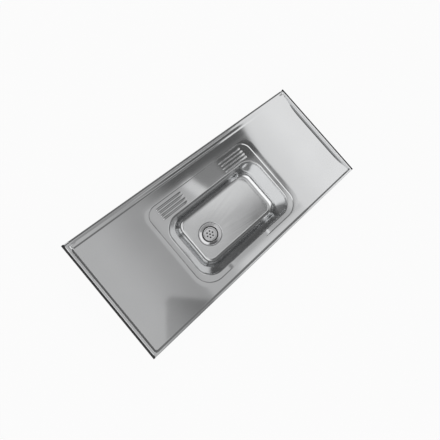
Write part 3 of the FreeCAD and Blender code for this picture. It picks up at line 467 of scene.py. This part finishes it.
def end_trough(x, y, slope_run):
    """The right drainboard's end: its slope is steeper and a shallow trough lies at its foot.

    Distances from the slope's top are shortened by the lens share, so the trough and the slope close up
    towards both corners. The depth grows almost in a straight line from the trough's edge to the foot.
    Returns the new x and the trough's depth.
    """
    share = lens_share(y)
    top = RIM_INNER["right"] + BEAD_REACH
    away = top - x
    foot = slope_run * END_SLOPE_SHARE * share
    on_slope = away * END_SLOPE_SHARE * share
    on_tray = foot + (away - slope_run) * (TRAY_END - foot) / (TRAY_END - slope_run)
    moved = np.where(away < slope_run, on_slope, on_tray)
    moved = np.where((away < 0) | (away > TRAY_END), away, moved)
    width = TROUGH_WIDTH * share
    fall = np.clip((width - moved) / np.maximum(width - foot, 0.1), 0, 1)
    depth = TROUGH_DEPTH * share * (TROUGH_STRAIGHT * fall + (1 - TROUGH_STRAIGHT) * smooth(fall))
    return top - moved, depth


def fading_step(x, y, z):
    """Lift that lets the sunk field's front step fade out between two places, with the lip below it.

    The lift is the whole step at the field's level and shrinks in a straight line down to the weld.
    """
    stretch = smooth((x - FADE[0]) / (FADE[1] - FADE[0])) * (1 - smooth((x - FADE[2]) / (FADE[3] - FADE[2])))
    front = 1 - smooth((y - FADE_DEPTH) / FADE_DEPTH_RUN)
    lift = np.clip((z - WELD_Z) / (FIELD_Z - LIP_ROUND - WELD_Z), 0, 1) * (TRAY_Z - FIELD_Z)
    return stretch * front * np.minimum(lift, np.maximum(TRAY_Z - z, 0))

# %% Deck profile
def grown(shape, by):
    """The same rounded rectangle, moved outward by an amount per ring."""
    by = np.atleast_1d(np.asarray(by, dtype=float))
    return dict(left=shape["left"] - by, right=shape["right"] + by, front=shape["front"] - by,
                back=shape["back"] + by, radius_front=shape["radius_front"] + by,
                radius_back=shape["radius_back"] + by)


def between(first, second, share):
    """Rounded rectangles between two, by share."""
    share = np.atleast_1d(np.asarray(share, dtype=float))
    return {key: np.atleast_1d(first[key]) + (np.atleast_1d(second[key]) - np.atleast_1d(first[key])) * share
            for key in first}


def stack(sections):
    """Join sections of rings and heights into one grid of points."""
    flat, heights = [], []
    for shape, height in sections:
        points = rings(**shape)
        flat.append(points)
        heights.append(np.broadcast_to(np.asarray(height, dtype=float).reshape(-1, 1), points.shape[:2]))
    return np.concatenate(flat), np.concatenate(heights)


def slope_steps(height, foot, bead, steepest, count):
    """Run and rise of a pressed slope: a round foot, a straight part and a round bead, as two arrays.

    On the foot the run is foot * sin(angle) and the rise foot * (1 - cos(angle)); the bead is the same
    form turned over at the slope's top.
    """
    turn = np.linspace(0, np.radians(steepest), count)
    foot_run, foot_rise = foot * np.sin(turn), foot * (1 - np.cos(turn))
    bead_run, bead_rise = bead * np.sin(turn[::-1]), bead * (1 - np.cos(turn[::-1]))
    straight = (height - foot_rise[-1] - bead_rise[0]) / np.tan(np.radians(steepest))
    total = foot_run[-1] + straight + bead_run[0]
    return np.concatenate([foot_run, total - bead_run]), np.concatenate([foot_rise, height - bead_rise])


def deck_side(skin, detail):
    """One face of the deck, from the bowl's collar outward; skin 0 is the upper face.

    Each section is a set of rounded rectangles and their heights: an upright collar, a quarter round for
    the lip, the level field, a pressed slope, the level drainboards in two stretches, a second slope, the
    level rim and a quarter round for the edge.
    """
    sections = []
    mouth = grown(MOUTH, skin)
    level = FIELD_Z - skin
    sections.append((grown(mouth, np.zeros(2)), [WELD_Z, (WELD_Z + level - LIP_ROUND) / 2]))
    turn = arc_steps(8 * detail)
    lip = LIP_ROUND - skin
    sections.append((grown(mouth, lip * (1 - np.cos(turn))), level - lip + lip * np.sin(turn)))
    run, rise = slope_steps(count=4 * detail, **FIELD_STEP)
    field_foot = grown(FIELD, FIELD_REACH - run[-1])
    share = np.linspace(0, 1, 54 * detail)[1:-1]
    sections.append((between(grown(mouth, lip), field_foot, share), np.full(len(share), level)))
    sections.append((grown(FIELD, FIELD_REACH - run[-1] + run), level + rise))
    run, rise = slope_steps(count=5 * detail, **RIM_STEP)
    tray_end = dict(grown(RIM_INNER, BEAD_REACH - TRAY_END), radius_front=TRAY_END_CORNER,
                    radius_back=TRAY_END_CORNER)
    share = np.linspace(0, 1, 2 + 5 * detail)[1:]
    sections.append((between(grown(FIELD, FIELD_REACH), tray_end, share), np.full(len(share), TRAY_Z - skin)))
    foot = grown(RIM_INNER, BEAD_REACH - run[-1])
    share = np.linspace(0, 1, 7 * detail)[1:-1]
    sections.append((between(tray_end, foot, share), np.full(len(share), TRAY_Z - skin)))
    sections.append((grown(RIM_INNER, BEAD_REACH - run[-1] + run), TRAY_Z - skin + rise))
    turn = arc_steps(6 * detail)
    edge = EDGE_BEND - skin
    corner = grown(OUTER, -skin)
    flat_rim = np.linspace(0, 1, 3 + 8 * detail)[1:-1]
    sections.append((between(grown(RIM_INNER, BEAD_REACH), grown(corner, -edge), flat_rim),
                     np.full(len(flat_rim), RIM_Z - skin)))
    sections.append((grown(corner, edge * (np.sin(turn) - 1)), RIM_Z - skin - edge * (1 - np.cos(turn))))
    return sections


def formed(flat, height, skin, rib_half):
    """Add the forms that lie over the plan to a grid of rings."""
    x, y = flat[..., 0], flat[..., 1]
    plain = height + skin
    above = np.clip((plain - TRAY_Z) / (RIM_Z - TRAY_Z), 0, 1)
    new_x, depth = end_trough(x, y, slope_steps(count=5, **RIM_STEP)[0][-1])
    extra = rib_height(x, y, rib_half) + fading_step(x, y, plain) + rear_rim(x, y) * above
    near_end = np.where(x > RIM_INNER["right"] + BEAD_REACH - TRAY_END, 1 - above, 0)
    return np.stack([new_x, y, height + extra - depth * near_end], axis=-1)


def deck_grid():
    """Upper face outward, skirt and fold, then the underside back to the collar."""
    upper_flat, upper_height = stack(deck_side(0.0, 2))
    under_flat, under_height = stack(deck_side(SHEET, 1))
    skirt_flat, skirt_height = stack([(grown(OUTER, np.zeros(2)), [RIM_Z / 2, 0.0]),
                                      (grown(OUTER, [-RETURN, -RETURN]), [0.0, SHEET]),
                                      (grown(OUTER, [-SHEET]), [SHEET])])
    upper = formed(upper_flat, upper_height, 0.0, RIB_WIDTH / 2)
    under = formed(under_flat, under_height, SHEET, RIB_WIDTH / 2 - SHEET)
    skirt = np.concatenate([skirt_flat, skirt_height[..., None]], axis=-1)
    return np.concatenate([upper, skirt, under[::-1]])


deck_points = deck_grid()
add_piece("deck_pressing", grid_mesh("deck_pressing", deck_points, close_rows=True), "sink_top",
          deck_steel, "satin_steel", "deck")

# %% [markdown]
# ## The drawn bowl
# The bowl is pressed from one sheet: its walls lean in, a wide round joins them to the floor, and the
# floor falls evenly to the waste, so its edge lies lower where the waste is near. The rings go from the
# mouth down the wall and across the floor, and end as a circle round the waste. The outside is the same
# surface, one sheet thickness further out. A sheet of bitumen is glued under the floor against the noise
# of the water, and takes the floor's shape, so it is made here too.

# %% Bowl rings
SEAT_Z, FLOOR_Z = -129.5, -119.5
LEAN = dict(left=34.0, right=20.0, front=22.0, back=5.0)
FLOOR_CORNER, FLOOR_ROUND, FLOOR_FLAT = 56.0, 25.0, 3.0
SEAT_RADIUS, SEAT_DEPTH, DRAIN_RADIUS = 58.0, 3.0, 45.0
FALL_LENGTH, FALL_START = 250.0, 60.0


def floor_fall(x, y):
    """Height of a floor that falls evenly to the waste's seat: a cone over the distance from its axis."""
    away = np.hypot(x - WASTE_X, y - WASTE_Y)
    seat_top = SEAT_Z + SEAT_DEPTH
    return np.minimum(seat_top + (away - SEAT_RADIUS) * (FLOOR_Z - seat_top) / FALL_LENGTH, FLOOR_Z)


def wall_ring(height, inset, skin):
    """Rounded rectangles on the leaning wall: each side moves in evenly with the depth, and by inset."""
    depth = (WELD_Z - height) / (WELD_Z - FLOOR_Z)
    corner = MOUTH["radius_front"] + (FLOOR_CORNER - MOUTH["radius_front"]) * depth - inset + skin
    return dict(left=MOUTH["left"] + LEAN["left"] * depth + inset - skin,
                right=MOUTH["right"] - LEAN["right"] * depth - inset + skin,
                front=MOUTH["front"] + LEAN["front"] * depth + inset - skin,
                back=MOUTH["back"] - LEAN["back"] * depth - inset + skin,
                radius_front=corner, radius_back=corner)


def circle_ring(radius):
    """Circle round the waste whose points pair with the ring's stretches."""
    stretch_angle = np.linspace(-90, 270, 9) - 22.5
    counts = [FRONT_POINTS, CORNER_POINTS, SIDE_POINTS, CORNER_POINTS, len(rear_parts()), CORNER_POINTS,
              SIDE_POINTS, CORNER_POINTS]
    angle = np.concatenate([np.linspace(stretch_angle[i], stretch_angle[i + 1], count, endpoint=False)
                            for i, count in enumerate(counts)])
    turn = np.radians(angle)
    return np.stack([WASTE_X + np.cos(turn) * radius, WASTE_Y + np.sin(turn) * radius], axis=-1)


def bowl_side(skin, detail):
    """One face of the bowl as a grid, from the weld inward; skin 0 is the inside.

    The wall runs straight down. The round goes inward by radius * (1 - cos) and down by radius * sin. The
    floor's points lie on straight lines from its edge to the circle round the waste, at the floor's fall,
    and the wall's lower part is stretched to meet the floor where its edge lies lower.
    """
    wall_end = FLOOR_Z + FLOOR_ROUND
    heights = np.linspace(WELD_Z, wall_end, 12 * detail)
    wall = rings(**wall_ring(heights, 0.0, skin))
    turn = arc_steps(14 * detail)[1:]
    low = wall_end - (FLOOR_ROUND + skin) * np.sin(turn)
    inward = FLOOR_ROUND * (1 - np.cos(turn))
    rounded = rings(**wall_ring(np.maximum(low, FLOOR_Z), inward, skin * np.cos(turn)))
    rim = rings(**wall_ring(np.array([FLOOR_Z]), FLOOR_ROUND + FLOOR_FLAT, 0.0))[0]
    circle = circle_ring(SEAT_RADIUS + skin)
    share = np.linspace(0, 1, 30 * detail)
    floor = rim + (circle - rim) * share[:, None, None]
    seat = np.stack([circle_ring(SEAT_RADIUS + skin), circle_ring(DRAIN_RADIUS)])
    sides = np.concatenate([wall, rounded])
    level = np.concatenate([heights, low])[:, None]
    lowered = np.clip((FLOOR_Z + FALL_START - level) / FALL_START, 0, 1)
    side_height = level - lowered * (FLOOR_Z - floor_fall(sides[..., 0], sides[..., 1]))
    floor_height = floor_fall(floor[..., 0], floor[..., 1]) - skin
    seat_height = np.full(seat.shape[:2], SEAT_Z - skin)
    flat = np.concatenate([sides, floor, seat])
    height = np.concatenate([side_height, floor_height, seat_height])
    return np.concatenate([flat, height[..., None]], axis=-1)


def lengths(points, axis):
    """Running length along one axis of a grid, measured through its middle line, from 0."""
    line = np.take(points, points.shape[1 - axis] // 2, axis=1 - axis)
    line = np.concatenate([line, line[:1]])
    return np.concatenate([[0.0], np.cumsum(np.linalg.norm(np.diff(line, axis=0), axis=1))])


inside = bowl_side(0.0, 2)
outside = bowl_side(SHEET, 1)
bowl_points = np.concatenate([outside, inside[::-1]])
around = lengths(inside[:2], 1)
bowl_mesh = grid_mesh("bowl_pressing", bowl_points, close_rows=True, around=around,
                      along=lengths(bowl_points, 0))
add_piece("bowl_pressing", bowl_mesh, "sink_top", bowl_steel, "drawn_steel", "bowl")

# %% Damping pad under the bowl
# its points lie on straight lines from its middle to its edge, one sheet below the floor's fall
PAD_THICKNESS, PAD_CORNER = 3.0, 12.0
pad_low, pad_high = [np.array(corner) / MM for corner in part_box("pad_bowl")]
pad_edge = rings(pad_low[0], pad_high[0], pad_low[1], pad_high[1], PAD_CORNER, PAD_CORNER)[0]
pad_middle = (pad_low + pad_high)[:2] / 2
pad_share = np.linspace(0, 1, 24)[:, None, None]
pad_flat = pad_middle + (pad_edge - pad_middle) * pad_share
pad_top = floor_fall(pad_flat[..., 0], pad_flat[..., 1]) - SHEET
pad_upper = np.concatenate([pad_flat, pad_top[..., None]], axis=-1)
pad_points = np.concatenate([pad_upper, (pad_upper - [0, 0, PAD_THICKNESS])[::-1]])
pad_mesh = grid_mesh("bowl_pad", pad_points)
welder = bmesh.new()
welder.from_mesh(pad_mesh)
bmesh.ops.remove_doubles(welder, verts=welder.verts, dist=1e-7)
welder.to_mesh(pad_mesh)
welder.free()
bitumen = plain_finish("bitumen_pad", (0.035, 0.034, 0.033), 0.85, 420.0, 0.20, contrast=0.3)
add_piece("bowl_pad", pad_mesh, "sink_top", bitumen, "pad", "pad_bowl")

# %% [markdown]
# ## The waste
# The waste is a spun and threaded part: a dished flange, a ledge for the basket, a neck that tapers to the
# outlet. Its outline is turned round the upright axis. A machined edge is never quite sharp, so every
# corner of the outline becomes a short curve, and that thin bright line is most of what one sees of it.
# The threads on the neck and the outlet are a wave along the height that runs on with the angle. A
# thin black ring, turned in the same way, lies on the basket's rim as painted shade for the groove
# round it.

# %% Turned pieces
def rounded_outline(corners, steps=6):
    """Closed outline with rounded corners, as a list of (radius, height) points.

    A corner becomes the curve (1-t)^2 a + 2 t (1-t) corner + t^2 b, where a and b lie at the corner's
    reach along its two sides.
    """
    corners = np.array(corners, dtype=float)
    point, reach = corners[:, :2], corners[:, 2:]
    sides = [np.roll(point, turn, axis=0) - point for turn in (1, -1)]
    ends = []
    for side in sides:
        length = np.linalg.norm(side, axis=1, keepdims=True)
        ends.append(point + side / length * np.minimum(reach, 0.45 * length))
    t = np.linspace(0, 1, steps)[None, :, None]
    curve = (1 - t) ** 2 * ends[0][:, None] + 2 * t * (1 - t) * point[:, None] + t ** 2 * ends[1][:, None]
    return curve.reshape(-1, 2)


def filled(outline, longest):
    """The same closed outline with more points on its long sides."""
    after_it = np.roll(outline, -1, axis=0)
    counts = np.maximum(np.ceil(np.linalg.norm(after_it - outline, axis=1) / longest), 1).astype(int)
    share = np.concatenate([np.linspace(0, 1, count, endpoint=False) for count in counts])[:, None]
    start, end = np.repeat(outline, counts, axis=0), np.repeat(after_it, counts, axis=0)
    return start + (end - start) * share


def turned(outline, columns=112, threads=()):
    """Outline turned round the waste's axis: x = r cos, y = r sin, with threads cut into it.

    A thread moves the points on its radius between two heights inward by depth times half of
    1 + cos(height / pitch - angle), in full turns, so its crest climbs by one pitch a turn.
    """
    angle = np.linspace(0, 2 * np.pi, columns, endpoint=False)[None, :]
    radius, height = [np.broadcast_to(outline[:, i:i + 1], (len(outline), columns)) for i in (0, 1)]
    for at_radius, low, high, pitch, depth in threads:
        on_thread = (np.abs(radius - at_radius) < 0.01) & (height > low) & (height < high)
        wave = 0.5 + 0.5 * np.cos(2 * np.pi * height / pitch - angle)
        radius = np.where(on_thread, radius - depth * wave, radius)
    return np.stack([WASTE_X + radius * np.cos(angle), WASTE_Y + radius * np.sin(angle), height], axis=-1)

# %% Waste body
FLANGE_RISE, NECK, OUTLET = 1.4, 42.5, 23.9
flange = (waste_high[0] - waste_low[0]) / 2
edge_z = waste_high[2]
outlet_z = waste_low[2]
# one corner each: radius, height, and how far its curve reaches along both sides
body_outline = rounded_outline([
    (flange, edge_z - 2, 0.3), (flange, edge_z - 1, 0.6), (flange - 2.4, edge_z + FLANGE_RISE, 1.4),
    (flange - 5, edge_z + FLANGE_RISE, 1.6), (40.5, edge_z - 2.2, 0.8), (40.5, edge_z - 5, 0.3),
    (38.5, edge_z - 5, 0.3), (38.5, edge_z - 34, 1.5), (31, edge_z - 46, 2.0), (21.5, edge_z - 46, 0.8),
    (21.5, outlet_z, 0.4), (OUTLET, outlet_z, 0.4), (OUTLET, edge_z - 48, 1.0), (33, edge_z - 48, 1.5),
    (NECK, edge_z - 36, 1.0), (NECK, edge_z - 2, 0.3)])
body_points = turned(filled(body_outline, 0.5), threads=[
    (NECK, edge_z - 34, edge_z - 11, 2.0, 0.5), (OUTLET, outlet_z + 1.5, edge_z - 53, 2.3, 0.6)])
add_piece("waste_body", grid_mesh("waste_body", body_points[::-1], close_rows=True), "sink_top",
          body_steel_painted_shade, "polished_steel", "strainer_body")

# %% Black ring of painted shade on the basket's rim
# the black ring is painted shade: a dark piece laid where the groove round the basket lies in shade; the same
# rubber also finishes the soft gasket pieces
gasket_and_shade_ring_rubber = plain_finish("gasket_rubber_and_shade_ring", (0.022, 0.022, 0.022), 0.6, 700.0, 0.02)
shade_ring_outline = rounded_outline([(34.4, edge_z - 3.5, 0.2), (39.4, edge_z - 3.5, 0.5),
                                (39.4, edge_z - 2.3, 0.6), (34.4, edge_z - 2.7, 0.4)])
add_piece("basket_shade_ring", grid_mesh("basket_shade_ring", turned(shade_ring_outline)[::-1], close_rows=True),
          "strainer_basket", gasket_and_shade_ring_rubber, "soft_gasket")

# %% [markdown]
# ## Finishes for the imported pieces
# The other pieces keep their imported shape, because they are plain turned, bent or moulded parts. They
# still get real finishes: black rubber with a dull bloom for the end strips, zinc for the fixings, a
# coarse bitumen sheet for the pads, waxed fibre for the friction ring and white plastic for the nut.

# %% Plain finishes
rubber = plain_finish("black_end_rubber", (0.018, 0.018, 0.019), 0.55, 900.0, 0.03)
zinc = plain_finish("bright_zinc", (0.55, 0.56, 0.58), 0.32, 300.0, 0.01, metallic=1.0)
fibre = plain_finish("waxed_fibre", (0.42, 0.34, 0.24), 0.7, 500.0, 0.05, contrast=0.25)
nut_plastic = plain_finish("moulded_white_plastic", (0.72, 0.72, 0.70), 0.4, 200.0, 0.01, contrast=0.03)

FINISHES = {"satin_steel": deck_steel, "drawn_steel": bowl_steel, "polished_steel": waste_steel,
            "black_rubber": rubber, "zinc": zinc, "pad": bitumen, "soft_gasket": gasket_and_shade_ring_rubber,
            "fibre": fibre, "nut_plastic": nut_plastic}
slots = {row["node"]: row["material_slot"] for row in frame["record"]["subparts"]}
for name, slot in slots.items():
    mesh = bpy.data.objects[name].data
    mesh.materials.clear()
    mesh.materials.append(FINISHES[slot])
print("finished", len(slots), "packed pieces")

# %% [markdown]
# ## Studio
# Steel shows the room it stands in, so the studio is part of the look: a bright soft wall on the right,
# a large window on the left, a dim wall behind and a mid grey ceiling. They could be lamps and boards, but
# painting them on the world by direction costs nothing to render and keeps their edges where one wants
# them. A direction is turned into the place on the level deck that mirrors it, in millimetres, so each
# light's place can be read off the picture.

# %% World helpers
world = bpy.data.worlds.new("studio")
world.use_nodes = True
bpy.context.scene.world = world
sky = Nodes(world.node_tree)
direction = sky.add("SeparateXYZ", {"Vector": sky.add("TexCoord").outputs["Generated"]}).outputs


def calc(operation, *values):
    return sky.add("Math", dict(enumerate(values)), operation=operation).outputs[0]


def ramp(value, start, end):
    """0 before start, 1 after end, with a soft change between them."""
    return sky.add("MapRange", {"Value": value, "From Min": start, "From Max": end},
                   interpolation_type="SMOOTHSTEP").outputs["Result"]


def blend(mask, under, over):
    """under where the mask is 0, over where it is 1."""
    return calc("ADD", calc("MULTIPLY", calc("SUBTRACT", 1.0, mask), under), calc("MULTIPLY", mask, over))


EYE_OVER_DECK, LEAST_UP = 951.0, 0.02
up = calc("MAXIMUM", direction["Z"], LEAST_UP)
mirror_x, mirror_y = [calc("ADD", calc("MULTIPLY", calc("DIVIDE", direction[axis], up), EYE_OVER_DECK), eye)
                      for axis, eye in zip("XY", EYE)]

# %% Paint the world
def between_two(value, start, end, first, second):
    """first before start, second after end, with a soft change between them."""
    return blend(ramp(value, start, end), first, second)


def lean(value, other, slant, through):
    """A slanted coordinate: value moved by slant for each millimetre that other is past through."""
    return calc("ADD", value, calc("MULTIPLY", calc("SUBTRACT", other, through), slant))


def after(value, start, soft):
    return ramp(value, start - soft, start + soft)


def before(value, end, soft):
    return calc("SUBTRACT", 1.0, after(value, end, soft))


def both(*masks):
    """1 where all masks are 1: their product."""
    result = masks[0]
    for mask in masks[1:]:
        result = calc("MULTIPLY", result, mask)
    return result


def place(x=(None, None), y=(None, None), across=None):
    """Mask of a place on the mirroring deck.

    x and y each hold where it begins and ends, and each of these is a place with its softness, or None.
    across is a slanted coordinate that stands in for X.
    """
    sides = ((mirror_x if across is None else across, x), (mirror_y, y))
    return both(*[side(value, *limit) for value, ends in sides
                  for side, limit in zip((after, before), ends) if limit is not None])


# the left drainboard mirrors a wall that gets darker inward; behind the top it is dim, most over the bowl
left_wall = between_two(mirror_x, -520, -310, 0.66, 0.47)
rear_wall = between_two(mirror_x, -330, -110, left_wall, 0.14)
light = blend(after(mirror_y, 188, 14), between_two(mirror_x, -304, -298, left_wall, 0.64), rear_wall)

# over the bowl: bright above its rear half, then a grey band, a dim streak and brightness again
bands = between_two(mirror_y, -56, -22, 0.56, 0.95)
bands = between_two(mirror_y, -106, -82, between_two(mirror_x, -120, 10, 0.46, 0.17), bands)
bands = between_two(mirror_y, -165, -138, 0.55, bands)
bands = between_two(mirror_y, -236, -216, 0.92, bands)

LEDGE = (92, 5), (186, 6)
slanted = lean(mirror_x, mirror_y, 0.30, 140)
stand_left = lean(mirror_x, mirror_y, -0.75, -142)
stand_right = lean(mirror_x, mirror_y, 0.88, -135)
stand = both(after(stand_left, -448, 3), before(stand_right, -425, 3), place(y=((-700, 60), (-139, 3))))
card_edge = lean(mirror_x, calc("MAXIMUM", mirror_y, 60.0), -0.20, 60)
card = both(after(card_edge, 251, 5), place(x=(None, (1000, 40)), y=((-1500, 200), (1100, 200))))
PAINTED = [
    (place(x=((-150, 40), (270, 10)), y=((-420, 60), (86, 6))), bands),
    # the strip beside the bowl
    (place(x=((195, 15), (256, 4)), y=((-215, 15), (120, 30))), between_two(mirror_y, -190, -60, 0.85, 0.27)),
    # between the soap ribs: a slanted bright card, a grey one and the dark wall
    (place(x=((-262, 60), (-100, 20)), y=LEDGE), 0.60),
    (place(x=((-102, 12), (-48, 7)), y=LEDGE, across=slanted), 0.92),
    (both(place(x=(None, (70, 6)), y=LEDGE), after(slanted, -48, 7)), 0.32),
    (place(x=((70, 6), (290, 20)), y=LEDGE), 0.12),
    # the dim figure of a stand in the left drainboard's front corner, with a thin bright edge
    (place(x=((-455, 2), (-449, 2)), y=((-320, 20), (-150, 10)), across=stand_left), 0.80),
    (stand, between_two(mirror_x, -510, -330, 0.47, 0.24)),
    # far in front: dim, dimmer the farther
    (place(x=((-1500, 200), (420, 60)), y=(None, (-320, 40))),
     between_two(mirror_y, -1200, -350, 0.15, 0.45)),
    # the large soft card on the right, its left edge slanted at the rear, and darkness past it
    (card, between_two(mirror_x, 290, 470, 1.02, 1.14)),
    (after(mirror_x, 1000, 40), 0.17),
    # the window on the left and darkness past it
    (place(x=((-6000, 400), (-790, 60)), y=((-1300, 200), (1300, 200))), 1.5),
    (before(mirror_x, -6200, 400), 0.25),
    # far behind and far in front
    (place(x=((-2500, 300), (2000, 200)), y=((700, 200), None)), 0.20),
    (place(x=((-2500, 300), (2000, 200)), y=(None, (-1500, 300))), 0.18),
    # the horizon
    (calc("SUBTRACT", 1.0, ramp(direction["Z"], 0.10, 0.16)), 0.24)]
for mask, level in PAINTED:
    light = blend(mask, light, level)
seen = sky.add("LightPath").outputs["Is Camera Ray"]
strength = blend(seen, light, 1.0)
background = sky.tree.nodes["Background"]
background.inputs["Color"].default_value = (1, 1, 1, 1)
sky.tree.links.new(strength, background.inputs["Strength"])
print("world nodes:", len(sky.tree.nodes))

# %% [markdown]
# ## Floor
# The picture is cut out on white. A pale floor far larger than the part shows as that white to the camera
# and in mirrors, and still takes a soft share of the part's shadow. Right under the outlet it doesn't
# glow, because the strainer's holes look down on that place and it lies in full shadow.

# %% Floor
FLOOR_GAP, FLOOR_REACH, SHADOW_SHARE = 0.5, 6000.0, 0.07
floor_z = cad_box[0][2] / MM - FLOOR_GAP
floor_mesh = bpy.data.meshes.new("studio_floor")
corners = [(FLOOR_REACH * x, FLOOR_REACH * y, floor_z) for x, y in ((-1, -1), (1, -1), (1, 1), (-1, 1))]
floor_mesh.from_pydata([[MM * value for value in corner] for corner in corners], [], [(0, 1, 2, 3)])
paper = Finish("white_floor", Roughness=0.9)
paper.shader.inputs["Base Color"].default_value = (0.85, 0.85, 0.85, 1)
path = paper.add("LightPath").outputs
shown = path["Is Camera Ray"]
for ray in ("Is Glossy Ray", "Is Transmission Ray"):
    shown = paper.add("Math", {0: shown, 1: path[ray]}, operation="MAXIMUM").outputs[0]
outlet_place = (WASTE_X * MM, WASTE_Y * MM, floor_z * MM)
under_outlet = paper.add("VectorMath", {0: paper.add("TexCoord").outputs["Object"], 1: outlet_place},
                         operation="DISTANCE").outputs["Value"]
shown = paper.add("Math", {0: shown, 1: paper.remap(under_outlet, 0.024, 0.045, 0.0, 1.0)},
                  operation="MULTIPLY").outputs[0]
glow = paper.add("Emission", {"Color": (1, 1, 1, 1), "Strength": 1.0}).outputs[0]
glow_share = paper.add("Math", {0: shown, 1: 1 - SHADOW_SHARE}, operation="MULTIPLY").outputs[0]
cover = paper.add("MixShader", {0: glow_share, 1: paper.shader.outputs[0], 2: glow})
paper.tree.links.new(cover.outputs[0], paper.tree.nodes["Material Output"].inputs["Surface"])
floor_mesh.materials.append(paper.material)
floor = bpy.data.objects.new("studio_floor", floor_mesh)
bpy.context.scene.collection.objects.link(floor)
print("floor at %.1f mm" % floor_z)
